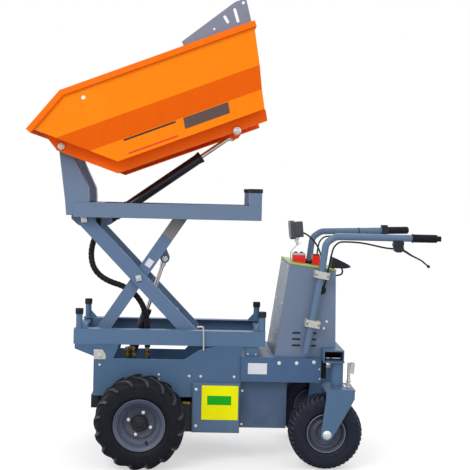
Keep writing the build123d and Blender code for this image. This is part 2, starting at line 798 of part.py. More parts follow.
# ---------------------------------------------------------------------- wheels
# Sections as (radius, distance in from the wheel's near face to its far face).
for hand, sign in (("left", -1), ("right", 1)):
    # name, x, radius, inner and outer |Y|, bead radius, flange radius, disc depth,
    # disc bore, hub radius, hub length
    for name, wheel_x, wheel_r, y_in, y_out, bead_r, flange_r, depth, bore, hub_r in (
        ("drive", DRIVE_X, DRIVE_R, DRIVE_IN, DRIVE_OUT, 100, 115.5, 57, 18.5, 30),
        (
            "caster", CASTER_X, CASTER_R, SWIVEL_Y - CASTER_HALF,
            SWIVEL_Y + CASTER_HALF, 74, 87.5, 30, 10.5, 24,
        ),
    ):
        flat = Plane(
            origin=(DATUM_X + wheel_x, 0, wheel_r), x_dir=(1, 0, 0), z_dir=(0, 0, 1)
        )
        spin = Axis((DATUM_X + wheel_x, 0, wheel_r), (0, 1, 0))
        r, a, b = wheel_r, y_in, y_out
        with BuildPart() as tyre:
            with BuildSketch(flat):
                with BuildLine():
                    Polyline(
                        [
                            (x, sign * y)
                            for x, y in (
                                (bead_r, a + 16),
                                (flange_r + 2, a + 15),
                                (flange_r + 9, a + 6),
                                (r * 0.74, a + 1),
                                (r * 0.90, a),
                                (r * 0.97, a + 12),
                                (r, a + 38),
                                (r, b - 38),
                                (r * 0.97, b - 12),
                                (r * 0.90, b),
                                (r * 0.74, b - 1),
                                (flange_r + 9, b - 6),
                                (flange_r + 2, b - 15),
                                (bead_r, b - 16),
                            )
                        ],
                        close=True,
                    )
                make_face()
            revolve(axis=spin)
        pieces[f"{hand}_{name}_tyre"] = tyre
        with BuildPart() as rim:
            with BuildSketch(flat):
                with BuildLine():
                    Polyline(
                        [
                            (x, sign * y)
                            for x, y in (
                                (bead_r - 6, a + 9),
                                (flange_r, a + 9),
                                (flange_r, a + 14.5),
                                (bead_r, a + 14.5),
                                (bead_r, b - 14.5),
                                (flange_r, b - 14.5),
                                (flange_r, b - 9),
                                (bead_r - 6, b - 9),
                                (bead_r - 6, b - depth),
                                (hub_r, b - depth),
                                (hub_r, b - depth + 14),
                                (bore, b - depth + 14),
                                (bore, b - depth - 40),
                                (hub_r, b - depth - 40),
                                (hub_r, b - depth - 6),
                                (bead_r - 6, b - depth - 6),
                            )
                        ],
                        close=True,
                    )
                make_face()
            revolve(axis=spin)
        pieces[f"{hand}_{name}_rim"] = rim

    # ------------------------------------------------------------ caster forks
    cy = sign * SWIVEL_Y
    with BuildPart() as fork:
        with BuildSketch(deck(364)):
            with Locations((712, cy)):
                Rectangle(136, 154)
        extrude(amount=7)
        for y0 in (cy - 77, cy + 70):
            with BuildSketch(side(-y0)):
                with BuildLine():
                    Polyline(
                        (650, 364.5), (778, 364.5), (778, 330), (680, 150), (657, 140),
                        (632, 158), (630, 172), (650, 330), close=True,
                    )
                make_face()
                with Locations((CASTER_X, CASTER_R)):
                    Circle(27)
            extrude(amount=-7)
        with BuildSketch(side(-(cy - 82))):
            with Locations((CASTER_X, CASTER_R)):
                Circle(10)
        extrude(amount=-164)
        with BuildSketch(deck(371)):
            with Locations((SWIVEL_X, cy)):
                Circle(26)
        extrude(amount=8.4)
        with BuildSketch(deck(371)):
            with Locations((SWIVEL_X, cy)):
                Circle(15)
        extrude(amount=108)
        # swivel lock lever on the plate
        with BuildSketch(deck(371)):
            with Locations((762, cy)):
                Circle(7)
        extrude(amount=110)
        with BuildSketch(deck(371)):
            with Locations((762, cy)):
                Rectangle(20, 30)
        extrude(amount=14)
    pieces[f"{hand}_caster_fork"] = fork

# --------------------------------------------------------------------- console
with BuildPart() as console_body:
    with BuildSketch(side(-195)):
        with BuildLine():
            Polyline(
                (426, 491), (640, 491), (640, 540), (707, 540), (700, 893), (488, 922),
                close=True,
            )
        make_face()
    extrude(amount=390)
    for x in (524.5, 603.0):
        for z in (545.0, 574.0, 603.0):
            with BuildSketch(side(192)):
                with Locations((x, z)):
                    SlotOverall(40 if x < 560 else 28, 9)
            extrude(amount=3, mode=Mode.SUBTRACT)
pieces["console_body"] = console_body

with BuildPart() as console_top:
    with BuildSketch(side(-198)):
        with BuildLine():
            Polyline((485, 922.6), (703, 892.8), (703, 899), (486, 928.8), close=True)
        make_face()
    extrude(amount=396)
pieces["console_top"] = console_top

with BuildPart() as red_switches:
    for x0, z0, x1, z1 in ((513, 925.3, 573, 917.0), (606, 912.5, 642, 907.5)):
        with BuildSketch(side(38)):
            with BuildLine():
                Polyline((x0, z0), (x1, z1), (x1, 955), (x0, 957), close=True)
            make_face()
        extrude(amount=44)
pieces["red_switches"] = red_switches

# Bent strap with the lamp's foot on it, and the square work lamp.
with BuildPart() as lamp_bracket:
    with BuildSketch(side(8)):
        with BuildLine():
            Polyline(
                (506.5, 926), (509.5, 925.6), (509.5, 961), (520, 980), (538, 997),
                (558, 1010.5), (556.4, 1013), (536, 1000), (517, 982), (506.5, 962),
                close=True,
            )
        make_face()
    extrude(amount=24)
    with BuildSketch(side(12)):
        with BuildLine():
            Polyline((527, 1042), (549, 1046), (543, 1004), (535, 999), close=True)
        make_face()
    extrude(amount=16)
pieces["lamp_bracket"] = lamp_bracket

lamp_plane = Plane(
    origin=(DATUM_X + 558, -20, 1077),
    x_dir=(0, 1, 0),
    z_dir=(-math.cos(0.1), 0, -math.sin(0.1)),
)
with BuildPart() as lamp:
    with BuildSketch(lamp_plane):
        RectangleRounded(62, 60, 10)
    with BuildSketch(lamp_plane.offset(36)):
        RectangleRounded(80, 78, 12)
    loft()
    with BuildSketch(lamp_plane.offset(36)):
        RectangleRounded(88, 88, 12)
    extrude(amount=20)
pieces["lamp"] = lamp

with BuildPart() as display:
    with BuildSketch(side(35)):
        with BuildLine():
            Polyline(
                (690, 901.4), (703, 899.7), (755, 899.7), (780, 905), (781, 912),
                (697, 951), close=True,
            )
        make_face()
    extrude(amount=90)
pieces["display"] = display

# ------------------------------------------------------------------ handlebars
BAR_Y, BAR_R = 225.0, 16.0
# The right bar is set 40 mm shorter and rises a little to its grip.
BAR_ROUTES = (
    (BAR_Y, ((565, 515), (632, 910), (646, 1024), (690, 1054), (1151.5, 1054))),
    (-BAR_Y, ((565, 515), (632, 910), (646, 1026), (690, 1058), (1128.5, 1073))),
)
with BuildPart() as handlebars:
    for y, route in BAR_ROUTES:
        with BuildLine(side(y)):
            FilletPolyline(*route, radius=(150, 45, 50))
        with BuildSketch(
            Plane(
                origin=(DATUM_X + route[0][0], -y, route[0][1]),
                z_dir=(route[1][0] - route[0][0], 0, route[1][1] - route[0][1]),
            )
        ):
            Circle(BAR_R)
        sweep()
pieces["handlebars"] = handlebars


def bar_end_plane(y, route, x):
    """Plane square to the bar's last run where that run passes station x."""
    (x0, z0), (x1, z1) = route[-2:]
    return Plane(
        origin=(DATUM_X + x, -y, z0 + (z1 - z0) * (x - x0) / (x1 - x0)),
        x_dir=(0, 1, 0),
        z_dir=(x1 - x0, 0, z1 - z0),
    )


with BuildPart() as grips:
    # start of the grip, its length, the length of its narrow end
    for (y, route), (start, length, nose) in zip(
        BAR_ROUTES, ((1041, 111, 22), (1031, 98, 8))
    ):
        with BuildSketch(bar_end_plane(y, route, start)):
            Circle(18.5)
            Circle(BAR_R, mode=Mode.SUBTRACT)
        extrude(amount=length)
        with BuildSketch(bar_end_plane(y, route, start + length)):
            Circle(18.5)
        extrude(amount=3)
        with BuildSketch(bar_end_plane(y, route, start + length + 3)):
            Circle(12.5)
        extrude(amount=nose - 3)
pieces["grips"] = grips

BAR_LEAN = math.degrees(math.atan2(632 - 565, 910 - 515))
with BuildPart() as bar_clamps:
    for x, z in ((626.0, 877.0), (589.0, 652.5)):
        for sign in (-1, 1):
            # offset along x, |y|, width, thickness
            for dx, y, width, thick in ((0, 221, 43, 50), (3, 242, 68, 8), (3, 200, 68, 8)):
                with Locations(Location((DATUM_X + x + dx, sign * y, z), (0, BAR_LEAN, 0))):
                    Box(width, thick, 32)
    for sign in (-1, 1):
        with BuildSketch(
            Plane(
                origin=(DATUM_X + 565, sign * BAR_Y, 515),
                z_dir=(632 - 565, 0, 910 - 515),
            )
        ):
            Circle(BAR_R + 0.1)
        extrude(amount=420, mode=Mode.SUBTRACT)
pieces["bar_clamps"] = bar_clamps

with BuildPart() as brake_lever:
    with BuildSketch(side(BAR_Y - 16)):
        with BuildLine():
            Polyline(
                (956, 1037.6), (1003, 1037.6), (1003, 996), (990, 988), (962, 992),
                close=True,
            )
        make_face()
    extrude(amount=32)
    with BuildSketch(side(BAR_Y - 4)):
        with BuildLine():
            Polyline(
                (985, 1012), (1010, 1004), (1060, 975), (1118, 936), (1112, 926),
                (1052, 962), (1004, 990), (985, 994), close=True,
            )
        make_face()
        with Locations((1118, 930)):
            Circle(9)
    extrude(amount=8)
pieces["brake_lever"] = brake_lever

with BuildPart() as thumb_switch:
    switch_plane = bar_end_plane(*BAR_ROUTES[1], 1000)
    with BuildSketch(switch_plane):
        with Locations((0, 3)):
            RectangleRounded(46, 50, 6)
        Circle(BAR_R, mode=Mode.SUBTRACT)
    extrude(amount=27)
pieces["thumb_switch"] = thumb_switch

# Control cables, held along their whole length: brake, far-hand switch, lamp and
# display. Each route is straight runs joined by tangent arcs, (x, |y| to the left, z).
CABLE_R = 4.0
CABLE_ROUTES = (
    (
        (956, 225, 1004), (920, 225, 1007), (870, 226, 1017), (814, 227, 1028),
        (758, 228, 1031.5), (706, 229, 1030.5), (681, 229, 1007), (671.5, 229, 970),
        (664.5, 228, 932), (658.5, 225, 893), (651.5, 221, 857), (645, 215, 828),
        (641, 207, 808), (641, 195.8, 804),
    ),
    (
        (999.4, -240, 1050), (960, -240, 1048), (900, -236, 1044), (830, -231, 1040),
        (765, -229, 1036.5), (706, -226, 1031), (682, -221, 1007), (673, -213, 970),
        (668, -203, 932), (666, -194, 906.6),
    ),
    (
        (561.2, 20, 1062), (584, 22, 1052), (609, 28, 1032), (631, 36, 1005),
        (646, 44, 972), (654, 52, 938), (656, 55, 906.9),
    ),
    (
        (743, 100, 897.6), (748, 100, 886), (744, 100, 871), (726, 100, 864.5),
        (701.4, 100, 864.5),
    ),
)
cable_radii = []
with BuildPart() as control_cables:
    for route in CABLE_ROUTES:
        points = [(DATUM_X + x, -y, z) for x, y, z in route]
        radii = []
        for a, b, c in zip(points, points[1:], points[2:]):
            turn = math.radians((Vector(*b) - Vector(*a)).get_angle(Vector(*c) - Vector(*b)))
            radii.append(0.45 * min(math.dist(a, b), math.dist(b, c)) / math.tan(turn / 2))
        cable_radii.append([round(r) for r in radii])
        with BuildLine():
            FilletPolyline(*points, radius=radii)
        with BuildSketch(Plane(origin=points[0], z_dir=Vector(*points[1]) - Vector(*points[0]))):
            Circle(CABLE_R)
        sweep()
print("cable radii", cable_radii)
pieces["control_cables"] = control_cables

os.makedirs("parts", exist_ok=True)
for name, piece in pieces.items():
    piece.part.label = name
    export_step(piece.part, f"parts/{name}.step")
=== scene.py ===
import math

import bpy
import bmesh
from mathutils import Matrix, Vector


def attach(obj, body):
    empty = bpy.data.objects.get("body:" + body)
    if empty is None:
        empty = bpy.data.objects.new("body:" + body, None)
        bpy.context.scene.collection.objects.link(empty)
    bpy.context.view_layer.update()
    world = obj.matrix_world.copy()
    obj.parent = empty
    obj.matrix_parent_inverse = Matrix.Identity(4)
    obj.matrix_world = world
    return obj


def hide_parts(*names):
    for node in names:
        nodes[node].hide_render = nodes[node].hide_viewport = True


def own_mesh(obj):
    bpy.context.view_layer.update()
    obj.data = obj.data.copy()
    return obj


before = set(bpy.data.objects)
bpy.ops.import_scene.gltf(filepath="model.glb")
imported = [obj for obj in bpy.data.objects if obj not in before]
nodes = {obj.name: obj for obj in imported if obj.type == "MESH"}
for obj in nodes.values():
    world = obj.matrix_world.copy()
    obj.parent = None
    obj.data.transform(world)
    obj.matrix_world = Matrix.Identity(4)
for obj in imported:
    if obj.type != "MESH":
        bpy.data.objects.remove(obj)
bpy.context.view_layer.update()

DATUM = -0.232776
TILT = math.radians(21.1)
SIDES = (("left", -1), ("right", 1))


def P(x, y, z):
    """A point from its station aft of the datum, y and z in millimetres."""
    return Vector((DATUM + x / 1000, y / 1000, z / 1000))


def S(u, w, y):
    """A point from its place on the skip: u aft along the rim, w square to it."""
    return P(
        281 + u * math.cos(TILT) + w * math.sin(TILT),
        y,
        2003 + u * math.sin(TILT) - w * math.cos(TILT),
    )


SKIP_U = Vector((math.cos(TILT), 0, math.sin(TILT)))
SKIP_W = Vector((math.sin(TILT), 0, -math.cos(TILT)))


# ------------------------------------------------------------------ camera, light
yaw, pitch, roll = 0.02174, 0.02228, 0.02325
aim = Vector((math.sin(yaw) * math.cos(pitch), math.cos(yaw) * math.cos(pitch), -math.sin(pitch)))
right = Vector((math.cos(yaw), -math.sin(yaw), 0))
up = right.cross(aim)
right, up = (
    math.cos(roll) * right + math.sin(roll) * up,
    -math.sin(roll) * right + math.cos(roll) * up,
)
camera_data = bpy.data.cameras.new("camera")
camera_data.lens = 66.31
camera_data.sensor_width = 36
camera_data.shift_x = 0.0532
camera_data.shift_y = -0.0520
camera = bpy.data.objects.new("camera", camera_data)
bpy.context.scene.collection.objects.link(camera)
camera.matrix_world = Matrix((
    (right.x, up.x, -aim.x, -0.208186),
    (right.y, up.y, -aim.y, -4.17695),
    (right.z, up.z, -aim.z, 1.24882),
    (0, 0, 0, 1),
))
bpy.context.scene.camera = camera
bpy.context.scene.view_settings.view_transform = "Standard"


def area_light(name, place, target, size, power, color=(1, 1, 1)):
    data = bpy.data.lights.new(name, "AREA")
    data.shape = "DISK"
    data.size = size
    data.energy = power
    data.color = color
    obj = bpy.data.objects.new(name, data)
    bpy.context.scene.collection.objects.link(obj)
    obj.location = place
    obj.rotation_euler = (Vector(target) - Vector(place)).to_track_quat("-Z", "Y").to_euler()


area_light("key", (-2.4, -3.6, 4.2), (0, 0, 1.1), 2.6, 86)
area_light("fill", (3.2, -3.2, 2.0), (0.1, 0, 0.9), 2.6, 8, (0.96, 0.98, 1.0))
area_light("back", (0.6, 3.8, 3.8), (0, 0, 1.0), 2.8, 40)
world = bpy.data.worlds.new("world")
bpy.context.scene.world = world
world.use_nodes = True
sky = world.node_tree
sky.nodes["Background"].inputs["Color"].default_value = (0.985, 0.99, 1.0, 1)
sky.nodes["Background"].inputs["Strength"].default_value = 1.0
seen = sky.nodes.new("ShaderNodeBackground")
seen.inputs["Color"].default_value = (1, 1, 1, 1)
seen.inputs["Strength"].default_value = 1.0
rays, pick = sky.nodes.new("ShaderNodeLightPath"), sky.nodes.new("ShaderNodeMixShader")
sky.links.new(rays.outputs["Is Camera Ray"], pick.inputs["Fac"])
sky.links.new(sky.nodes["Background"].outputs["Background"], pick.inputs[1])
sky.links.new(seen.outputs["Background"], pick.inputs[2])
sky.links.new(pick.outputs["Shader"], sky.nodes["World Output"].inputs["Surface"])


# ---------------------------------------------------------------------- materials
def linear(rgb):
    return tuple(
        (c / 255 / 12.92 if c / 255 <= 0.04045 else ((c / 255 + 0.055) / 1.055) ** 2.4)
        for c in rgb
    )


class Mat:
    """A node material in the making."""

    def __init__(self, name, rough, metal=0.0, **sockets):
        self.m = bpy.data.materials.new(name)
        self.m.use_nodes = True
        self.t = self.m.node_tree
        self.b = self.t.nodes["Principled BSDF"]
        self.b.inputs["Roughness"].default_value = rough
        self.b.inputs["Metallic"].default_value = metal
        for k, v in sockets.items():
            self.b.inputs[k.replace("_", " ")].default_value = v
        self.coord = self.t.nodes.new("ShaderNodeTexCoord").outputs["Object"]

    def new(self, kind, **links):
        n = self.t.nodes.new(kind)
        for k, v in links.items():
            if isinstance(v, bpy.types.NodeSocket):
                self.t.links.new(v, n.inputs[k.replace("_", " ")])
            else:
                n.inputs[k.replace("_", " ")].default_value = v
        return n

    def noise(self, scale, detail=3.0, rough=0.5, stretch=None, distortion=0.0):
        where = self.coord
        if stretch:
            where = self.new("ShaderNodeMapping", Vector=self.coord, Scale=stretch).outputs[0]
        return self.new(
            "ShaderNodeTexNoise", Vector=where, Scale=scale, Detail=detail,
            Roughness=rough, Distortion=distortion,
        ).outputs[0]

    def ramp(self, fac, *stops):
        n = self.t.nodes.new("ShaderNodeValToRGB")
        self.t.links.new(fac, n.inputs[0])
        while len(n.color_ramp.elements) < len(stops):
            n.color_ramp.elements.new(0.5)
        for e, (at, color) in zip(n.color_ramp.elements, stops):
            e.position = at
            if not hasattr(color, "__len__"):
                color = (color,) * 3
            e.color = (*color, 1)
        return n.outputs[0]

    def mix(self, fac, a, b, kind="MIX"):
        n = self.t.nodes.new("ShaderNodeMix")
        n.data_type = "RGBA"
        n.blend_type = kind
        for i, v in ((0, fac), (6, a), (7, b)):
            if isinstance(v, bpy.types.NodeSocket):
                self.t.links.new(v, n.inputs[i])
            elif hasattr(v, "__len__"):
                n.inputs[i].default_value = (*v, 1) if len(v) == 3 else v
            else:
                n.inputs[i].default_value = v
        return n.outputs[2]

    def math(self, kind, a, b=0.0):
        n = self.t.nodes.new("ShaderNodeMath")
        n.operation = kind
        for i, v in ((0, a), (1, b)):
            if isinstance(v, bpy.types.NodeSocket):
                self.t.links.new(v, n.inputs[i])
            else:
                n.inputs[i].default_value = v
        return n.outputs[0]

    def z(self):
        n = self.new("ShaderNodeSeparateXYZ", Vector=self.coord)
        return n.outputs[2]

    def edge(self, radius=0.0022):
        """How strongly a point lies on an edge, and the rounded normal there."""
        bevel = self.t.nodes.new("ShaderNodeBevel")
        bevel.samples = 4
        bevel.inputs["Radius"].default_value = radius
        geometry = self.t.nodes.new("ShaderNodeNewGeometry")
        dot = self.t.nodes.new("ShaderNodeVectorMath")
        dot.operation = "DOT_PRODUCT"
        self.t.links.new(bevel.outputs[0], dot.inputs[0])
        self.t.links.new(geometry.outputs["True Normal"], dot.inputs[1])
        return self.ramp(dot.outputs["Value"], (0.80, 1.0), (0.985, 0.0)), bevel.outputs[0]

    def bump(self, height, strength, distance, normal=None):
        n = self.new("ShaderNodeBump", Height=height, Strength=strength, Distance=distance)
        if normal:
            self.t.links.new(normal, n.inputs["Normal"])
        return n.outputs[0]

    def set(self, **links):
        for k, v in links.items():
            self.t.links.new(v, self.b.inputs[k.replace("_", " ")])
        return self.m


def scaled(rgb, k):
    return tuple(min(1.0, c * k) for c in rgb)


def paint(
    name, rgb, rough=0.42, edge_highlight=(0.40, 0.46, 0.54), edge_highlight_amount=0.35, dust=0.0, coat=0.08, shine=0.35,
    fold_shade=None,
):
    """Powder coat: soft tone drift, faint runs and scuffs, orange peel, and edges lightened as a painted highlight."""
    base = linear(rgb)
    m = Mat(name, rough, Coat_Weight=coat, Coat_Roughness=0.25, Specular_IOR_Level=shine)
    drift = m.mix(m.noise(2.3, 4), scaled(base, 0.93), scaled(base, 1.07))
    # painted shade: faces turned down and outwards, like the tub's folded bands, are mixed towards a deeper orange
    if fold_shade:  # the tub's folded bands, which face down and outwards
        normal, dot = m.t.nodes.new("ShaderNodeTexCoord"), m.t.nodes.new("ShaderNodeVectorMath")
        dot.operation = "DOT_PRODUCT"
        dot.inputs[1].default_value = tuple(SKIP_W)
        m.t.links.new(normal.outputs["Normal"], dot.inputs[0])
        drift = m.mix(m.ramp(dot.outputs["Value"], (0.20, 0.0), (0.40, 1.0)), drift, linear(fold_shade))
    runs = m.ramp(m.noise(1.0, 5, 0.6, stretch=(30, 30, 5)), (0.30, 0.97), (0.70, 1.02))
    color = m.mix(1.0, drift, runs, "MULTIPLY")
    scuff = m.ramp(m.noise(26, 8, 0.72, distortion=0.6), (0.62, 0.0), (0.76, 0.14))
    color = m.mix(scuff, color, scaled(base, 1.35))
    edge, rounded = m.edge()
    # painted highlight: edges are mixed towards a lighter tone, broken into patches by noise
    edge_highlight_mask = m.math("MULTIPLY", edge, m.ramp(m.noise(55, 6, 0.65), (0.40, 0.25), (0.62, 1.0)))
    color = m.mix(m.math("MULTIPLY", edge_highlight_mask, edge_highlight_amount), color, edge_highlight)
    if dust:
        low = m.ramp(m.z(), (0.05, 1.0), (0.55, 0.0))
        patch = m.ramp(m.noise(9, 7, 0.65), (0.35, 0.2), (0.7, 1.0))
        color = m.mix(m.math("MULTIPLY", m.math("MULTIPLY", low, patch), dust), color, (0.36, 0.35, 0.34))
    roughness = m.ramp(m.noise(14, 5, 0.6), (0.3, rough - 0.06), (0.7, rough + 0.08))
    peel = m.bump(m.noise(620, 2), 0.10, 0.0006, rounded)
    return m.set(Base_Color=color, Roughness=roughness, Normal=peel)


def plastic(name, rgb, rough=0.55, grain=900, depth=0.25, edge_highlight=1.6, **sockets):
    base = linear(rgb)
    m = Mat(name, rough, **sockets)
    color = m.mix(m.noise(6, 4), scaled(base, 0.8), scaled(base, 1.25))
    edge, rounded = m.edge(0.0016)
    # painted highlight: edges are mixed towards a lighter copy of the base colour
    color = m.mix(m.math("MULTIPLY", edge, 0.5), color, scaled(base, edge_highlight))
    roughness = m.ramp(m.noise(40, 4), (0.3, rough - 0.08), (0.7, rough + 0.08))
    return m.set(
        Base_Color=color, Roughness=roughness,
        Normal=m.bump(m.noise(grain, 3), depth, 0.0004, rounded),
    )


def metal(name, rgb, rough=0.3, stretch=None, mottled=0.25, tint=None, weight=1.0):
    """Plated or bare metal with a brushed or spangled tone and a few dull patches."""
    base = linear(rgb)
    m = Mat(name, rough, weight)
    color = m.mix(
        m.ramp(m.noise(70, 6, 0.7, distortion=0.4), (0.35, 0.0), (0.7, 1.0)),
        scaled(base, 1 - mottled), base,
    )
    if tint:
        color = m.mix(m.ramp(m.noise(30, 4), (0.45, 0.0), (0.65, 0.55)), color, linear(tint))
    grain = m.noise(90, 3, 0.6, stretch=stretch or (1, 1, 1))
    roughness = m.ramp(grain, (0.3, max(0.04, rough - 0.08)), (0.7, rough + 0.12))
    _, rounded = m.edge(0.0010)
    return m.set(
        Base_Color=color, Roughness=roughness,
        Normal=m.bump(grain, 0.12, 0.0002, rounded),
    )


def rubber(name, rgb, rough=0.72, dust=0.25, dust_rgb=(128, 126, 128)):
    base = linear(rgb)
    m = Mat(name, rough, Specular_IOR_Level=0.18)
    color = m.mix(m.noise(11, 5, 0.6), scaled(base, 0.75), scaled(base, 1.3))
    film = m.ramp(m.noise(34, 8, 0.7), (0.42, 0.0), (0.72, 1.0))
    color = m.mix(m.math("MULTIPLY", film, dust), color, linear(dust_rgb))
    height = m.math("ADD", m.math("MULTIPLY", m.noise(260, 4, 0.6), 0.6), m.noise(1100, 2))
    return m.set(
        Base_Color=color,
        Roughness=m.ramp(film, (0.0, rough - 0.1), (1.0, min(1.0, rough + 0.15))),
        Normal=m.bump(height, 0.30, 0.0006),
    )


BLUE = (84, 110, 142)
M = {
    # one blue paint in lit and shaded copies: painted light on the upper parts (arm, upper, console, bar), painted
    # shade on the lower ones (chassis, blue, frame, box); chassis and box also get dust, rail is close to the mean
    # BLUE
    "chassis": paint("paint_chassis_painted_shade", (66, 99, 133), dust=0.22),
    "blue": paint("paint_blue_painted_shade", (76, 106, 138)),
    "rail": paint("paint_rail", (84, 113, 146)),
    "frame": paint("paint_frame_painted_shade", (67, 97, 134)),
    "arm": paint("paint_arm", (92, 116, 148)),
    "upper": paint("paint_upper_painted_light", (103, 122, 149)),
    "box": paint("paint_box_painted_shade", (61, 88, 122), dust=0.25),
    "console": paint("paint_console_painted_light", (108, 124, 149)),
    "bar": paint("paint_bar_painted_light", (92, 117, 146), rough=0.34),
    "galvanised": paint("paint_front_panel", (116, 132, 152), 0.30, edge_highlight_amount=0.2, coat=0.2, shine=0.6),
    "arm_brown": paint("paint_arm_end", (126, 124, 128), 0.44),
    "guard": paint("paint_guard", (126, 129, 146), rough=0.5),
    "orange": paint("paint_orange", (253, 132, 0), 0.40, fold_shade=(255, 106, 0), edge_highlight=(0.95, 0.42, 0.06), edge_highlight_amount=0.30, coat=0.0, shine=0.12),
    # painted shade: the rim and the frame are deeper copies of the skip's orange paint
    "orange_rim": paint("paint_orange_rim_painted_shade", (252, 112, 0), 0.40, edge_highlight=(0.95, 0.42, 0.08), edge_highlight_amount=0.45, coat=0.0, shine=0.12),
    "orange_frame": paint("paint_orange_frame_painted_shade", (252, 104, 0), 0.42, edge_highlight=(0.9, 0.34, 0.05), edge_highlight_amount=0.25, coat=0.0, shine=0.12),
    "black_paint": paint("paint_black", (26, 28, 38), 0.32, edge_highlight=(0.25, 0.26, 0.30), coat=0.1),
    "barrel": paint("paint_barrel", (22, 22, 32), 0.26, edge_highlight=(0.3, 0.3, 0.34), coat=0.3),
    "motor": paint("paint_motor", (20, 24, 29), 0.5, edge_highlight=(0.2, 0.2, 0.2), coat=0.0, dust=0.2),
    "rim": paint("paint_wheel", (76, 85, 108), 0.34, edge_highlight=(0.45, 0.48, 0.55), edge_highlight_amount=0.25, dust=0.12, coat=0.25),
    "caster_rim": paint("paint_caster_wheel", (50, 55, 68), 0.40, edge_highlight=(0.4, 0.42, 0.46), edge_highlight_amount=0.2, dust=0.1, coat=0.1),
    # painted highlight: the caster rims' lip is a lighter copy of their paint
    "caster_lip": paint("paint_caster_lip_painted_highlight", (112, 118, 132), 0.36, edge_highlight=(0.5, 0.52, 0.56), edge_highlight_amount=0.3, coat=0.1),
    "disc": paint("paint_disc", (60, 66, 84), 0.40, edge_highlight=(0.4, 0.42, 0.46), dust=0.15),
    "zinc": metal("zinc_plate", (226, 225, 221), 0.36, mottled=0.14, tint=(212, 210, 196)),
    # painted highlight: the bolts' zinc is a lightened copy of the plated zinc
    "zinc_painted_highlight": metal("zinc_bolt_painted_highlight", (250, 250, 250), 0.40, mottled=0.06),
    "steel": metal("steel_bare", (176, 178, 182), 0.34, mottled=0.3),
    "chrome": metal("chrome_rod", (226, 222, 218), 0.12, stretch=(4, 4, 1), mottled=0.06),
    "brass": metal("brass_fitting", (190, 150, 78), 0.30, mottled=0.3, tint=(120, 92, 50)),
    "tyre": rubber("tyre_rubber", (17, 20, 29), 0.62, 0.03),
    # painted reflection: the caster tyres get a lighter, bluer copy of the tyre rubber
    "caster_tyre": rubber("caster_rubber_painted_reflection", (27, 32, 46), 0.62, 0.05),
    # the lug and block faces are a lighter copy of the rubber: dust and painted highlight
    "tyre_top": rubber("tyre_lug_face_dust_and_highlight", (58, 59, 67), 0.85, 0.5, (128, 126, 130)),
    "caster_top": rubber("tyre_block_face_dust_and_highlight", (44, 48, 58), 0.8, 0.35, (120, 119, 124)),
    "rubber": rubber("rubber_pad", (34, 37, 48), 0.7, 0.12),
    "sleeve": rubber("hose_sleeve", (20, 21, 26), 0.42, 0.06),
    "cable": rubber("cable_sheath", (27, 28, 34), 0.5, 0.05),
    "plastic": plastic("plastic_black", (32, 33, 42), Specular_IOR_Level=0.3),
    "grip": plastic("plastic_grip", (20, 21, 30), 0.62, 500, 0.4, Specular_IOR_Level=0.2),
    "lamp": plastic("plastic_lamp", (62, 63, 70), 0.5),
    "red": plastic("plastic_red", (235, 24, 12), 0.35, 700, 0.1, 1.15, Coat_Weight=0.2),
    "clear": plastic("plastic_clear", (186, 186, 190), 0.22, 500, 0.08, 1.2),
    "lens": plastic("lamp_lens", (158, 160, 178), 0.16, 220, 0.35, 1.1),
    "panel": plastic("panel_top", (150, 176, 84), 0.42, 500, 0.08, 1.2),
    "yellow": plastic("plate_yellow", (250, 238, 0), 0.45, 700, 0.06, 1.05, Specular_IOR_Level=0.12),
    "green": plastic("plate_green", (22, 165, 34), 0.45, 700, 0.06, 1.05, Specular_IOR_Level=0.12),
    "white": plastic("plate_white", (216, 217, 226), 0.45, 500, 0.06, 1.05),
    "decal_black": plastic("decal_black", (26, 18, 16), 0.4, 500, 0.06, 1.1),
    "decal_red": plastic("decal_red", (232, 22, 20), 0.4, 500, 0.06, 1.1),
    "decal_dark": plastic("decal_dark", (84, 64, 58), 0.42, 500, 0.06, 1.1),
    # painted shade: the dark inside of openings
    "dark": plastic("inside_painted_shade", (14, 16, 20), 0.7),
    "screen": plastic("display_screen", (24, 30, 34), 0.12, 900, 0.02, 1.1),
}


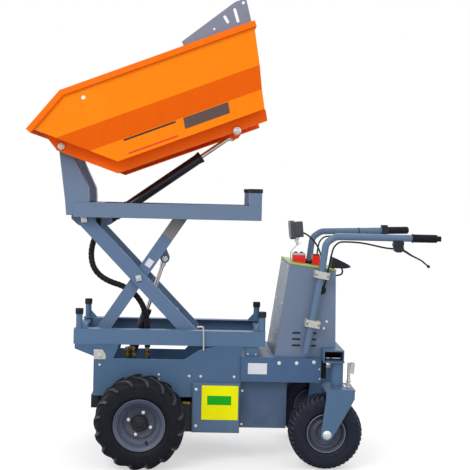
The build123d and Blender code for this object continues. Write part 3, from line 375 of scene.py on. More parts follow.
# ------------------------------------------------------------------- mesh helpers
class Shape:
    """Points and faces that are gathered into one object."""

    def __init__(self):
        self.v, self.f, self.m = [], [], []

    def put(self, verts, faces, mat=0):
        n = len(self.v)
        self.v += [tuple(v) for v in verts]
        self.f += [tuple(n + i for i in f) for f in faces]
        self.m += [mat] * len(faces)

    def lathe(self, profile, origin, axis, steps=48, mat=0, mats=None, closed=False):
        """Turns (radius, height along axis) points round the axis. mats gives each band its material."""
        origin, axis = Vector(origin), Vector(axis).normalized()
        u = axis.cross(Vector((1, 0, 0)) if abs(axis.x) < 0.9 else Vector((0, 0, 1))).normalized()
        w = axis.cross(u)
        rows, n = [], len(self.v)
        for r, h in profile:
            c = origin + axis * h
            if r < 1e-7:
                rows.append([len(self.v)] * steps)
                self.v.append(tuple(c))
            else:
                rows.append(list(range(len(self.v), len(self.v) + steps)))
                for i in range(steps):
                    a = 2 * math.pi * i / steps
                    self.v.append(tuple(c + r * (math.cos(a) * u + math.sin(a) * w)))
        pairs = list(zip(rows, rows[1:])) + ([(rows[-1], rows[0])] if closed else [])
        for k, (a, b) in enumerate(pairs):
            for i in range(steps):
                j = (i + 1) % steps
                face = []
                for q in (a[i], a[j], b[j], b[i]):
                    if q not in face:
                        face.append(q)
                if len(face) > 2:
                    self.f.append(tuple(face))
                    self.m.append(mats[k] if mats else mat)

    def rod(self, a, b, r, r2=None, steps=24, mat=0, chamfer=0.0):
        a, b = Vector(a), Vector(b)
        length, r2 = (b - a).length, r if r2 is None else r2
        c = chamfer
        if c:
            profile = [(0, 0), (r - c, 0), (r, c), (r2, length - c), (r2 - c, length), (0, length)]
        else:
            profile = [(0, 0), (r, 0), (r2, length), (0, length)]
        self.lathe(profile, a, b - a, steps, mat)

    def box(self, centre, size, axes=None, mat=0):
        """size along the three axes; axes are unit vectors."""
        x, y, z = axes or (Vector((1, 0, 0)), Vector((0, 1, 0)), Vector((0, 0, 1)))
        c = Vector(centre)
        sx, sy, sz = (s / 2 for s in size)
        corners = [
            c + x * i * sx + y * j * sy + z * k * sz
            for i in (-1, 1) for j in (-1, 1) for k in (-1, 1)
        ]
        self.put(corners, [
            (0, 1, 3, 2), (4, 6, 7, 5), (0, 4, 5, 1), (2, 3, 7, 6), (0, 2, 6, 4), (1, 5, 7, 3),
        ], mat)

    def prism(self, outline, out, mat=0):
        """A flat outline of points in space, thickened by the vector out."""
        n, out = len(outline), Vector(out)
        pts = [Vector(p) for p in outline]
        self.put(
            pts + [p + out for p in pts],
            [tuple(range(n)), tuple(range(2 * n - 1, n - 1, -1))]
            + [(i, i + n, (i + 1) % n + n, (i + 1) % n) for i in range(n)],
            mat,
        )

    def tube(self, points, r, steps=16, mat=0, wave=None, cap=True):
        """A tube round a line of points. r is a number, or gives the radius at a length
        and turn."""
        pts = [Vector(p) for p in points]
        tangent = [(b - a).normalized() for a, b in zip(pts, pts[1:])]
        tangent = [tangent[0]] + [(a + b).normalized() for a, b in zip(tangent, tangent[1:])] + [tangent[-1]]
        side = tangent[0].orthogonal().normalized()
        rows, along = [], 0.0
        for k, (p, t) in enumerate(zip(pts, tangent)):
            if k:
                along += (p - pts[k - 1]).length
            side = (side - t * side.dot(t)).normalized()
            other = t.cross(side)
            row = []
            for i in range(steps):
                a = 2 * math.pi * i / steps
                rr = r(along, a) if callable(r) else r
                row.append(p + rr * (math.cos(a) * side + math.sin(a) * other))
            rows.append(row)
        verts = [v for row in rows for v in row]
        faces = [
            (k * steps + i, k * steps + (i + 1) % steps, (k + 1) * steps + (i + 1) % steps, (k + 1) * steps + i)
            for k in range(len(rows) - 1) for i in range(steps)
        ]
        if cap:
            faces += [tuple(range(steps))[::-1], tuple((len(rows) - 1) * steps + i for i in range(steps))]
        self.put(verts, faces, mat)

    def bolt(self, at, out, r=0.0065, head=0, washer=0, turn=0.0):
        """A hexagon head on a washer, out along a direction."""
        at, out = Vector(at), Vector(out).normalized()
        w = 0.0016
        self.lathe([(0, -0.001), (r * 1.55, -0.001), (r * 1.62, w * 0.5), (r * 1.5, w), (0, w)], at, out, 20, washer)
        self.lathe(
            [(0, w), (r, w), (r, w + r * 0.62), (r * 0.86, w + r * 0.75), (0, w + r * 0.78)],
            at, out, 6, head,
        )

    def button(self, at, out, r=0.006, mat=0):
        """A domed screw head with a small socket."""
        self.lathe(
            [(0, -0.001), (r, -0.001), (r, r * 0.18), (r * 0.88, r * 0.42), (r * 0.62, r * 0.58),
             (r * 0.36, r * 0.62), (r * 0.34, r * 0.25), (0, r * 0.25)],
            at, out, 18, mat,
        )

    def obj(self, name, body, slot, materials, bevel=0.0, sharp=34, segments=2):
        mesh = bpy.data.meshes.new(name)
        mesh.from_pydata(self.v, [], self.f)
        mesh.polygons.foreach_set("material_index", self.m)
        bm = bmesh.new()
        bm.from_mesh(mesh)
        bmesh.ops.recalc_face_normals(bm, faces=bm.faces)
        bm.to_mesh(mesh)
        bm.free()
        mesh.polygons.foreach_set("use_smooth", [True] * len(mesh.polygons))
        mesh.set_sharp_from_angle(angle=math.radians(sharp))
        for m in materials:
            mesh.materials.append(M[m])
        o = bpy.data.objects.new(name, mesh)
        bpy.context.scene.collection.objects.link(o)
        if bevel:
            b = o.modifiers.new("bevel", "BEVEL")
            b.width, b.segments, b.limit_method, b.angle_limit = bevel, segments, "ANGLE", math.radians(32)
        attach(o, body)
        return o


OUT = {-1: Vector((0, -1, 0)), 1: Vector((0, 1, 0))}


# --------------------------------------------------------------- CAD nodes' finish
finish = {
    "chassis_sides": "chassis", "chassis_floor": "chassis", "chassis_ends": "chassis",
    "front_gussets": "chassis", "side_covers": "chassis", "battery_boxes": "box",
    "rear_frame": "frame", "rail_feet": "blue", "caster_beam": "blue", "pivot_tubes": "blue",
    "lower_rails": "rail", "lower_ties": "rail", "pivot_brackets": "rail", "posts": "rail",
    "lift_bracket": "blue", "inner_arms": "arm", "outer_arms": "arm", "platform_rails": "upper",
    "platform_ties": "upper", "hanging_brackets": "upper", "tip_posts": "upper",
    "rest_stubs": "upper", "console_body": "console", "handlebars": "bar",
    "skip_tub": "orange", "skip_rim": "orange_rim", "skip_frame": "orange_frame",
    "spill_guard": "guard", "front_bar": "black_paint", "drive_unit": "motor",
    "tip_barrel": "barrel", "lift_barrel": "barrel", "tip_rod": "chrome", "lift_rod": "chrome",
    "inner_rollers": "steel", "outer_rollers": "steel", "bar_clamps": "zinc",
    "manifold": "steel", "post_caps": "rubber", "rest_pads": "rubber", "grips": "grip",
    "lamp": "lamp", "lamp_bracket": "zinc", "display": "plastic", "thumb_switch": "plastic",
    "brake_lever": "black_paint", "red_switches": "red", "console_top": "panel",
    "lift_hose": "sleeve", "control_cables": "cable",
}
for hand, _ in SIDES:
    finish[f"{hand}_drive_tyre"] = finish[f"{hand}_caster_tyre"] = "tyre"
    finish[f"{hand}_drive_rim"] = finish[f"{hand}_caster_rim"] = "rim"
    finish[f"{hand}_caster_fork"] = "blue"
for name, obj in nodes.items():
    obj.data.materials.clear()
    obj.data.materials.append(M[finish[name]])


# ------------------------------------------------------------------------ the hose
HOSE_ROUTE = (
    (-413, 1114), (-413, 1074), (-423, 1032), (-440, 986), (-446, 932), (-434, 876),
    (-399, 834), (-350, 808), (-292, 791), (-240, 760), (-202, 715), (-180, 660),
    (-171, 602), (-170, 548), (-169, 501),
)


def smooth_line(name, route, resolution):
    """Points along the NURBS curve whose control points are the route."""
    curve = bpy.data.curves.new(name, "CURVE")
    curve.dimensions = "3D"
    curve.resolution_u = resolution
    spline = curve.splines.new("NURBS")
    spline.points.add(len(route) - 1)
    for point, at in zip(spline.points, route):
        point.co = (*at, 1)
    spline.order_u = 3
    spline.use_endpoint_u = True
    holder = bpy.data.objects.new(name, curve)
    bpy.context.scene.collection.objects.link(holder)
    bpy.context.view_layer.update()
    mesh = bpy.data.meshes.new_from_object(holder)
    line = [v.co.copy() for v in mesh.vertices]
    bpy.data.objects.remove(holder)
    return line


def line_length(points):
    return sum((b - a).length for a, b in zip(points, points[1:]))


def wrap(radius, groove, pitch, band):
    """Radius of a spiral wrapped sleeve at a length and turn."""

    def at(along, turn):
        phase = (along / pitch - turn / (2 * math.pi)) % 1.0
        d = min(abs(phase - 0.5), 0.5) * 2  # 1 at the groove's middle
        return radius - groove * (1 if d > 1 - band else max(0.0, 1 - (1 - band - d) / 0.10))

    return at


hose_line = smooth_line("hose_line", [P(x, -66, z) for x, z in HOSE_ROUTE], 56)
shape = Shape()
shape.tube(hose_line, wrap(0.0140, 0.0018, 0.0185, 0.14), 28)
hose = shape.obj("lift_hose_sleeve", "root", "hose", ["sleeve"], sharp=60)
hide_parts("lift_hose")
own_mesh(hose)


# ------------------------------------------------------------------- driven wheels
def mirrored(points, sign):
    return [(p[0], p[1] * sign, p[2]) for p in points]


DRIVE_AT, DRIVE_Y, DRIVE_Z = DATUM - 0.1845, 0.2925, 0.205
CASTER_AT, CASTER_Y, CASTER_Z = DATUM + 0.657, 0.250, 0.167


def wheel_point(at, y, z, sign, angle, r, t):
    """angle from +X towards +Z, t out from the wheel's middle plane."""
    return Vector((at + r * math.cos(angle), sign * (y + t), z + r * math.sin(angle)))


# half section of the carcass: radius, distance from the middle plane
DRIVE_HALF = (
    (0.1010, 0.0590), (0.1085, 0.0640), (0.1150, 0.0665), (0.1175, 0.0690), (0.1215, 0.0725),
    (0.1260, 0.0752), (0.1320, 0.0775), (0.1345, 0.0782), (0.1358, 0.0795), (0.1378, 0.0795),
    (0.1390, 0.0785), (0.1480, 0.0792), (0.1580, 0.0790), (0.1680, 0.0778), (0.1740, 0.0768),
    (0.1800, 0.0752), (0.1858, 0.0722), (0.1905, 0.0662), (0.1936, 0.0566), (0.1954, 0.0440),
    (0.1964, 0.0250), (0.1968, 0.0),
)
# lug: distance from the middle plane, turn behind its crown in degrees, radius of
# its foot, height, lean of its height outwards in degrees, half width of its top
LUG = (
    (-0.0050, 0.0, 0.1950, 0.0092, 0, 0.0052),
    (0.0120, -4.6, 0.1948, 0.0098, 0, 0.0056),
    (0.0300, -9.6, 0.1944, 0.0104, 2, 0.0058),
    (0.0460, -14.0, 0.1934, 0.0110, 5, 0.0060),
    (0.0580, -17.4, 0.1912, 0.0120, 14, 0.0062),
    (0.0660, -20.0, 0.1878, 0.0120, 32, 0.0063),
    (0.0712, -22.0, 0.1826, 0.0102, 52, 0.0062),
    (0.0738, -23.8, 0.1752, 0.0074, 70, 0.0058),
    (0.0762, -25.4, 0.1665, 0.0036, 84, 0.0050),
)
for hand, sign in SIDES:
    axle = Vector((DRIVE_AT, sign * DRIVE_Y, DRIVE_Z))
    tyre = Shape()
    half = [(r, t) for r, t in DRIVE_HALF]
    profile = half + [(r, -t) for r, t in reversed(half[:-1])]
    tyre.lathe(profile, axle, (0, sign, 0), 128, 0)
    for row in (1, -1):
        for n in range(16):
            crown = math.radians(11.5 + 22.5 * n + (11.25 if row < 0 else 0))
            feet, outs = [], []
            for t, turn, foot, height, lean, top in LUG:
                a = crown + math.radians(turn)
                feet.append(wheel_point(DRIVE_AT, DRIVE_Y, DRIVE_Z, sign, a, foot, row * t))
                radial = Vector((math.cos(a), 0, math.sin(a)))
                lean = math.radians(lean)
                outs.append(math.cos(lean) * radial + math.sin(lean) * Vector((0, sign * row, 0)))
            verts, count = [], len(LUG)
            for k in range(count):
                along = (feet[min(k + 1, count - 1)] - feet[max(k - 1, 0)]).normalized()
                across = along.cross(outs[k]).normalized()
                height, top = LUG[k][3], LUG[k][5]
                base = top + 0.0052
                c, o = feet[k], outs[k]
                if k == 0:
                    c = c - along * 0.001
                section = [
                    c - across * base - o * 0.002,
                    c - across * (top + 0.0016) + o * height * 0.80,
                    c - across * (top - 0.0004) + o * height * 0.985,
                    c - across * (top - 0.0022) + o * height,
                    c + across * (top - 0.0022) + o * height,
                    c + across * (top - 0.0004) + o * height * 0.985,
                    c + across * (top + 0.0016) + o * height * 0.80,
                    c + across * base - o * 0.002,
                ]
                if k == 0:  # the crown end is chamfered back
                    section = [p + along * 0.003 * (1 if 0 < q < 7 else 0) for q, p in enumerate(section)]
                verts += section
            faces, mats = [], []
            for k in range(count - 1):
                for q in range(7):
                    faces.append((k * 8 + q, k * 8 + q + 1, (k + 1) * 8 + q + 1, (k + 1) * 8 + q))
                    mats.append(1 if q in (2, 3, 4) and k < count - 2 else 0)
                faces.append((k * 8 + 7, k * 8, (k + 1) * 8, (k + 1) * 8 + 7))
                mats.append(0)
            faces += [tuple(range(8)), tuple((count - 1) * 8 + q for q in reversed(range(8)))]
            mats += [0, 0]
            start = len(tyre.v)
            tyre.v += [tuple(v) for v in verts]
            tyre.f += [tuple(start + i for i in f) for f in faces]
            tyre.m += mats
    # low ribs round the sidewall, in eight spaced groups
    for n in range(64):
        if n % 8 in (0, 7):
            continue
        a = 2 * math.pi * n / 64
        for row in (1, -1):
            tyre.box(
                wheel_point(DRIVE_AT, DRIVE_Y, DRIVE_Z, sign, a, 0.1265, row * 0.0750),
                (0.0050, 0.0016, 0.0012),
                (
                    Vector((math.cos(a), 0, math.sin(a))),
                    Vector((0, sign * row, 0)),
                    Vector((-math.sin(a), 0, math.cos(a))),
                ),
            )
    o = tyre.obj(f"{hand}_drive_tread_tyre", f"{hand}_drive_wheel", "tyre", ["tyre", "tyre_top"], sharp=40)
    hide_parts(f"{hand}_drive_tyre")

    # dished steel wheel: outer dish, barrel and inner flange
    rim = Shape()
    rim.lathe([
        (0.0940, 0.0560), (0.1010, 0.0600), (0.1085, 0.0655), (0.1150, 0.0680), (0.1166, 0.0705),
        (0.1166, 0.0742), (0.1152, 0.0756), (0.1130, 0.0756), (0.1112, 0.0742), (0.1085, 0.0700),
        (0.1062, 0.0678), (0.1040, 0.0672), (0.1022, 0.0668), (0.1004, 0.0640), (0.0985, 0.0600),
        (0.0962, 0.0560), (0.0925, 0.0500), (0.0870, 0.0432), (0.0815, 0.0376), (0.0775, 0.0330),
        (0.0750, 0.0290), (0.0738, 0.0268), (0.0722, 0.0256), (0.0708, 0.0258), (0.0698, 0.0272),
        (0.0686, 0.0292), (0.0672, 0.0300), (0.0640, 0.0300), (0.0626, 0.0292), (0.0614, 0.0272),
        (0.0600, 0.0262), (0.0200, 0.0262), (0.0200, 0.0222), (0.0735, 0.0222), (0.0775, 0.0280),
        (0.0840, 0.0360), (0.0895, 0.0420),
    ], axle, (0, sign, 0), 96, 0, closed=True)
    rim.lathe([
        (0.0890, 0.0430), (0.0940, 0.0562), (0.0940, -0.0560), (0.1010, -0.0600), (0.1085, -0.0655),
        (0.1150, -0.0680), (0.1166, -0.0705), (0.1166, -0.0742), (0.1152, -0.0756), (0.1130, -0.0756),
        (0.1112, -0.0742), (0.1085, -0.0700), (0.1040, -0.0672), (0.1000, -0.0640), (0.0962, -0.0600),
        (0.0915, -0.0540), (0.0905, 0.0200),
    ], axle, (0, sign, 0), 96, 0)
    # four studs with nuts, the black hub cap, its ring and the valve
    for angle in (72, 162, 252, -18):
        a = math.radians(angle)
        foot = wheel_point(DRIVE_AT, DRIVE_Y, DRIVE_Z, sign, a, 0.052, 0.0262)
        out = OUT[sign]
        rim.lathe([(0, 0), (0.0118, 0), (0.0118, 0.0012), (0, 0.0014)], foot, out, 20, 1)
        rim.lathe([
            (0, 0.001), (0.0088, 0.001), (0.0092, 0.0095), (0.0080, 0.0122), (0.0050, 0.0134), (0, 0.0138),
        ], foot, out, 6, 2)
        rim.rod(foot + out * 0.012, foot + out * 0.0165, 0.0042, steps=14, mat=2, chamfer=0.0006)
    rim.lathe([
        (0.0, 0.0230), (0.0385, 0.0262), (0.0385, 0.0285), (0.0352, 0.0300), (0.0347, 0.0420),
        (0.0335, 0.0455), (0.0300, 0.0478), (0.0262, 0.0482), (0.0245, 0.0470), (0.0225, 0.0468),
        (0.0205, 0.0485), (0.0165, 0.0500), (0.0085, 0.0508), (0, 0.0510),
    ], axle, (0, sign, 0), 64, 3)
    for n in range(12):
        a = 2 * math.pi * n / 12
        rim.box(
            wheel_point(DRIVE_AT, DRIVE_Y, DRIVE_Z, sign, a, 0.0346, 0.0362), (0.0024, 0.0110, 0.0062),
            (Vector((math.cos(a), 0, math.sin(a))), Vector((0, sign, 0)), Vector((-math.sin(a), 0, math.cos(a)))), 3,
        )
    a = math.radians(-68.8)
    valve = wheel_point(DRIVE_AT, DRIVE_Y, DRIVE_Z, sign, a, 0.0895, 0.0440)
    tip = wheel_point(DRIVE_AT, DRIVE_Y, DRIVE_Z, sign, a, 0.0855, 0.0700)
    d = tip - valve
    rim.rod(valve - d * 0.25, valve + d * 0.30, 0.0080, 0.0058, 18, 3)
    rim.rod(valve + d * 0.30, tip, 0.0056, 0.0044, 16, 3, chamfer=0.0008)
    rim.rod(tip - d * 0.32, tip + d * 0.02, 0.0052, steps=12, mat=3, chamfer=0.0008)
    o = rim.obj(f"{hand}_drive_wheel_disc", f"{hand}_drive_wheel", "rim_paint", ["rim", "disc", "zinc_painted_highlight", "plastic"], sharp=38)
    # the flat of the disc and its raised ring have their own darker coat
    for poly in o.data.polygons:
        if poly.material_index == 0:
            c = Vector((poly.center.x - DRIVE_AT, 0, poly.center.z - DRIVE_Z)).length
            if c < 0.0735 and abs(poly.center.y) > DRIVE_Y:
                poly.material_index = 1
    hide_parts(f"{hand}_drive_rim")


# ------------------------------------------------------------------- caster wheels
CASTER_HALF = (
    (0.0760, 0.0400), (0.0850, 0.0440), (0.0880, 0.0462), (0.0905, 0.0500), (0.0960, 0.0545),
    (0.1010, 0.0572), (0.1024, 0.0586), (0.1046, 0.0588), (0.1060, 0.0588), (0.1160, 0.0612),
    (0.1260, 0.0624), (0.1360, 0.0622), (0.1430, 0.0606), (0.1490, 0.0575), (0.1535, 0.0525),
    (0.1570, 0.0440), (0.1595, 0.0320), (0.1608, 0.0160), (0.1612, 0.0),
)
for hand, sign in SIDES:
    axle = Vector((CASTER_AT, sign * CASTER_Y, CASTER_Z))
    tyre = Shape()
    half = list(CASTER_HALF)
    tyre.lathe(half + [(r, -t) for r, t in reversed(half[:-1])], axle, (0, sign, 0), 128, 0)
    pitch = 2 * math.pi / 44

    def block(cells, mats):
        """A tread block from four (angle, t, foot radius, top radius) corners."""
        lo = [wheel_point(CASTER_AT, CASTER_Y, CASTER_Z, sign, a, f, t) for a, t, f, _ in cells]
        hi = []
        mid_a = sum(c[0] for c in cells) / 4
        mid_t = sum(c[1] for c in cells) / 4
        for a, t, _, top in cells:
            hi.append(wheel_point(
                CASTER_AT, CASTER_Y, CASTER_Z, sign,
                mid_a + (a - mid_a) * 0.86, top, mid_t + (t - mid_t) * 0.93,
            ))
        start = len(tyre.v)
        tyre.v += [tuple(v) for v in lo + hi]
        for face, mat in (
            ((0, 1, 2, 3), 0), ((4, 5, 6, 7), mats), ((0, 1, 5, 4), 0), ((1, 2, 6, 5), 0),
            ((2, 3, 7, 6), 0), ((3, 0, 4, 7), 0),
        ):
            tyre.f.append(tuple(start + i for i in face))
            tyre.m.append(mat)

    for n in range(44):
        for k, (t0, t1, foot0, foot1, top0, top1) in enumerate((
            (-0.0095, 0.0095, 0.1600, 0.1600, 0.1668, 0.1668),
            (0.0125, 0.0290, 0.1595, 0.1585, 0.1667, 0.1660),
            (-0.0290, -0.0125, 0.1585, 0.1595, 0.1660, 0.1667),
        )):
            a = pitch * (n + (0.5 if k else 0.0))
            skew = 0.30 * pitch * (1 if k == 1 else -1 if k == 2 else 0.6)
            w = pitch * 0.34
            block([
                (a - w - skew, t0, foot0, top0), (a + w - skew, t0, foot0, top0),
                (a + w + skew, t1, foot1, top1), (a - w + skew, t1, foot1, top1),
            ], 1)
        for row in (1, -1):
            a, w = pitch * n, pitch * 0.30
            skew = 0.28 * pitch
            block([
                (a - w - skew, row * 0.0320, 0.1580, 0.1658), (a + w - skew, row * 0.0320, 0.1580, 0.1658),
                (a + w, row * 0.0500, 0.1500, 0.1612), (a - w, row * 0.0500, 0.1500, 0.1612),
            ], 1)
            block([
                (a - w, row * 0.0480, 0.1520, 0.1615), (a + w, row * 0.0480, 0.1520, 0.1615),
                (a + w * 0.9, row * 0.0600, 0.1395, 0.1500), (a - w * 0.9, row * 0.0600, 0.1395, 0.1500),
            ], 1)
            b = a + pitch / 2
            block([
                (b - w * 0.9, row * 0.0470, 0.1530, 0.1588), (b + w * 0.9, row * 0.0470, 0.1530, 0.1588),
                (b + w * 0.8, row * 0.0585, 0.1440, 0.1500), (b - w * 0.8, row * 0.0585, 0.1440, 0.1500),
            ], 0)
    o = tyre.obj(f"{hand}_caster_tread_tyre", f"{hand}_caster_wheel", "tyre", ["caster_tyre", "caster_top"], sharp=40)
    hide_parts(f"{hand}_caster_tyre")

    rim = Shape()
    for face in (1, -1):
        out = (0, sign * face, 0)
        rim.lathe([
            (0.0700, 0.0330), (0.0760, 0.0400), (0.0850, 0.0448), (0.0872, 0.0470), (0.0882, 0.0500),
            (0.0880, 0.0532), (0.0862, 0.0545), (0.0845, 0.0538), (0.0835, 0.0515), (0.0815, 0.0485),
            (0.0790, 0.0470), (0.0765, 0.0455), (0.0742, 0.0415), (0.0715, 0.0370), (0.0685, 0.0342),
            (0.0640, 0.0335), (0.0590, 0.0345), (0.0550, 0.0372), (0.0520, 0.0388), (0.0485, 0.0388),
            (0.0455, 0.0372), (0.0420, 0.0342), (0.0370, 0.0330), (0.0270, 0.0330), (0.0240, 0.0345),
            (0.0225, 0.0480), (0.0200, 0.0492), (0.0125, 0.0492), (0.0125, 0.0),
        ], axle, out, 72, 0, mats=[0, 0, 0, 0, 2, 2, 2, 2, 0, 0, 0, 0, 0, 0, 1, 1, 1, 1, 1, 1, 1, 1, 1, 1, 1, 1, 1, 1])
        rim.lathe([(0.0700, 0.0330), (0.0700, 0.0)], axle, out, 72, 0)
    o = rim.obj(f"{hand}_caster_wheel_disc", f"{hand}_caster_wheel", "rim_paint", ["caster_rim", "disc", "caster_lip"], sharp=38)
    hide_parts(f"{hand}_caster_rim")
# ------------------------------------------------------------------ small hardware
UP, FRONT, REAR = Vector((0, 0, 1)), Vector((-1, 0, 0)), Vector((1, 0, 0))
frame_bolts = Shape()
for hand, sign in SIDES:
    for x, z, y, r in (
        (-107, 399, 205, 0.0058), (-109, 378, 205, 0.0046), (33, 395, 205, 0.0058),
        (86, 395, 205, 0.0058), (240, 395.5, 205, 0.0058), (66, 339, 225, 0.0066),
        (67, 171, 225, 0.0066), (445.5, 465, 215, 0.0080), (526, 466, 215, 0.0080),
        (606, 472, 215, 0.0080), (-380, 440, 205, 0.0052), (-300, 318, 205, 0.0052),
        (281, 324, 170, 0.0056), (281, 168, 170, 0.0056),
    ):
        frame_bolts.bolt(P(x, sign * y, z), OUT[sign], r * 0.68)
    for x, z, y in ((634, 396, 215), (632, 440, 215), (302, 500.4, 195), (338, 498.9, 195)):
        frame_bolts.button(P(x, sign * y, z), OUT[sign], 0.0042)
    for x, z in ((663.1, 657.7), (650.0, 625.6)):
        frame_bolts.button(P(x, sign * 195, z), OUT[sign], 0.0064)
    for z in (905, 728, 590, 527):
        x = 426 + (z - 491) * 62 / 431
        frame_bolts.button(P(x, sign * 122, z), Vector((-0.99, 0, 0.14)), 0.0056)
frame_bolts.obj("frame_bolts", "root", "chrome", ["zinc_painted_highlight"], sharp=40)

pivot_bolts = Shape()
skip_bolts = Shape()
for hand, sign in SIDES:
    out = OUT[sign]
    for shape, (x, z), y, r in (
        (pivot_bolts, (-568.8, 1437.2), 247.6, 0.0165),
        (skip_bolts, (225.0, 1525.9), 247.0, 0.0185),
    ):
        at = P(x, sign * y, z)
        shape.lathe(
            [(0, -0.001), (r, -0.001), (r, 0.0012), (r - 0.0012, 0.0022), (r * 0.62, 0.0022),
             (r * 0.60, 0.0060), (r * 0.52, 0.0072), (r * 0.30, 0.0072), (r * 0.28, 0.0052), (0, 0.0052)],
            at, out, 36, 0,
        )
pivot_bolts.obj("pivot_bolts", "platform", "chrome", ["zinc"], sharp=40)
skip_bolts.obj("skip_eye_bolts", "skip", "chrome", ["zinc"], sharp=40)
for hand, sign in SIDES:
    axle_bolt = Shape()
    axle_bolt.bolt(P(657, sign * 326.8, 167), OUT[sign], 0.0122)
    axle_bolt.obj(f"{hand}_caster_axle_bolt", f"{hand}_fork", "chrome", ["zinc_painted_highlight"], sharp=40)

# square zinc keepers on the arms' pins
keepers = Shape()
for hand, sign in SIDES:
    a = math.radians(12)
    across, rise = Vector((math.cos(a), 0, math.sin(a))), Vector((-math.sin(a), 0, math.cos(a)))
    at = P(-212.6, sign * 157.4, 837.5)
    keepers.box(at, (0.026, 0.0024, 0.026), (across, Vector((0, 1, 0)), rise))
    keepers.bolt(at + OUT[sign] * 0.0011, OUT[sign], 0.0066)
    keepers.bolt(P(-96, sign * 42, 922), OUT[sign], 0.0088)
keepers.obj("arm_keepers", "inner_arms", "chrome", ["zinc"], bevel=0.0007)
top_keepers = Shape()
for hand, sign in SIDES:
    a = math.radians(8)
    across, rise = Vector((math.cos(a), 0, math.sin(a))), Vector((-math.sin(a), 0, math.cos(a)))
    at = P(-471.5, sign * 157.0, 1104.6)
    top_keepers.box(at, (0.027, 0.0028, 0.027), (across, Vector((0, 1, 0)), rise))
    top_keepers.bolt(at + OUT[sign] * 0.0013, OUT[sign], 0.0068)
top_keepers.obj("top_keepers", "platform", "chrome", ["zinc"], bevel=0.0007)

# --------------------------------------------------------------- plates and decals
def plate(shape, corners, sign, y, thick=0.0009, mat=0):
    """A flat plate on a side of the machine, from (station, height) corners."""
    shape.prism([P(x, sign * y, z) for x, z in corners], OUT[sign] * thick, mat)


def rect(x0, z0, x1, z1):
    return ((x0, z0), (x1, z0), (x1, z1), (x0, z1))


plates = Shape()
for hand, sign in SIDES:
    plate(plates, rect(92, 200, 260, 358), sign, 224.6, 0.0014, 0)
    plate(plates, rect(118, 269, 228, 311), sign, 225.9, 0.0004, 1)
    plate(plates, rect(302, 412, 390, 463), sign, 214.7, 0.0011, 2)
plates.obj("side_plates", "root", "panel_yellow", ["yellow", "green", "white"])

decals = Shape()
for hand, sign in SIDES:
    def flat(u0, w0, u1, w1, du=0.0):
        return [S(u, w, sign * 299.6) for u, w in ((u0, w0), (u1, w0), (u1 + du, w1), (u0 + du, w1))]

    decals.prism(flat(-719, 292.5, -473.5, 300.5), OUT[sign] * 0.0011, 0)
    decals.prism(flat(-719, 355.8, -486, 362.0), OUT[sign] * 0.0011, 1)
    decals.prism(flat(-436, 292.5, -223.5, 341.5, -8), OUT[sign] * 0.0011, 2)
decals.obj("skip_decals", "skip", "skip_paint", ["decal_black", "decal_red", "decal_dark"])

# ----------------------------------------------------------- louvres, console front
louvres = Shape()
# painted shade: dark strips stand in for the shaded openings of the louvre slots
for hand, sign in SIDES:
    for x, length in ((524.5, 37), (603.0, 25)):
        for z in (545.0, 574.0, 603.0):
            louvres.box(P(x, sign * 193.6, z), (length / 1000, 0.0024, 0.0072))
louvres.obj("louvre_painted_shade", "root", "black_plastic", ["dark"])

front = Shape()
lean = Vector((62, 0, 431)).normalized()
face = Vector((-lean.z, 0, lean.x))
centre = P(457, 0, 706.5) + face * 0.0006
front.box(centre, (0.376, 0.424, 0.0022), (Vector((0, 1, 0)), lean, face), 0)
for z in (583, 670, 757, 844):
    c = P(426 + (z - 491) * 62 / 431, 0, z) + face * 0.0016
    front.box(c, (0.376, 0.0022, 0.0012), (Vector((0, 1, 0)), lean, face), 0)
front.obj("console_front", "root", "body_paint", ["galvanised"], bevel=0.0009)

gland = Shape()
for hand, sign in SIDES[:1]:
    gland.lathe(
        [(0, -0.002), (0.0195, -0.002), (0.0195, 0.004), (0.0165, 0.0075), (0.0110, 0.0080),
         (0.0095, 0.0110), (0.0060, 0.0115), (0, 0.0115)],
        P(637, sign * 195, 804), OUT[sign], 36,
    )
gland.obj("console_gland", "root", "black_plastic", ["cable"])

# -------------------------------------------------------------- clamps' bolts, bars
clamp_bolts = Shape()
for hand, sign in SIDES:
    for x, z in ((626.0, 877.0), (589.0, 652.5)):
        for dx, dz in ((-23, 2.5), (30, -5.5)):
            clamp_bolts.bolt(P(x + dx, sign * 246.0, z + dz), OUT[sign], 0.0042)
clamp_bolts.obj("clamp_bolts", "root", "steel", ["steel"], sharp=40)

collars = Shape()
collars.lathe([(0.0180, -0.0022), (0.0208, -0.0018), (0.0208, 0.0018), (0.0180, 0.0022)], P(1043.5, -225, 1054), (1, 0, 0), 32, 0, closed=True)
bar_out = Vector((1128.5 - 690, 0, 1073 - 1058)).normalized()
collars.lathe([(0.0160, -0.0022), (0.0178, -0.0018), (0.0178, 0.0018), (0.0160, 0.0022)], P(882, 225, 1064.6), bar_out, 32, 1, closed=True)
collars.obj("bar_collars", "root", "black_plastic", ["grip", "black_paint"])

# the brake lever, with its curved blade
lever = Shape()
lever.prism(
    [P(x, -211, z) for x, z in (
        (956, 1037.8), (1003, 1037.8), (1003, 1024), (1001, 1020), (1004, 998), (990, 988), (972, 988),
        (961, 993), (957, 1012), (953, 1020),
    )],
    Vector((0, -0.028, 0)), 0,
)
lever.lathe([(0, 0), (0.0062, 0), (0.0062, 0.0022), (0, 0.0022)], P(986, -239, 1002), OUT[-1], 24, 0)
blade_line = smooth_line(
    "lever_line",
    [P(x, -225, z) for x, z in ((990, 1003), (1008, 996), (1035, 978), (1064, 964), (1090, 952), (1108, 936), (1120, 927))],
    8,
)
blade_length = line_length(blade_line)
lever.tube(
    blade_line,
    lambda along, turn: (0.0076 - 0.0030 * min(1.0, along / (0.55 * blade_length))) * (1 - 0.25 * abs(math.sin(turn))),
    20, 0,
)
ball = [(0.0078 * math.sin(math.pi * k / 12), -0.0078 * math.cos(math.pi * k / 12)) for k in range(13)]
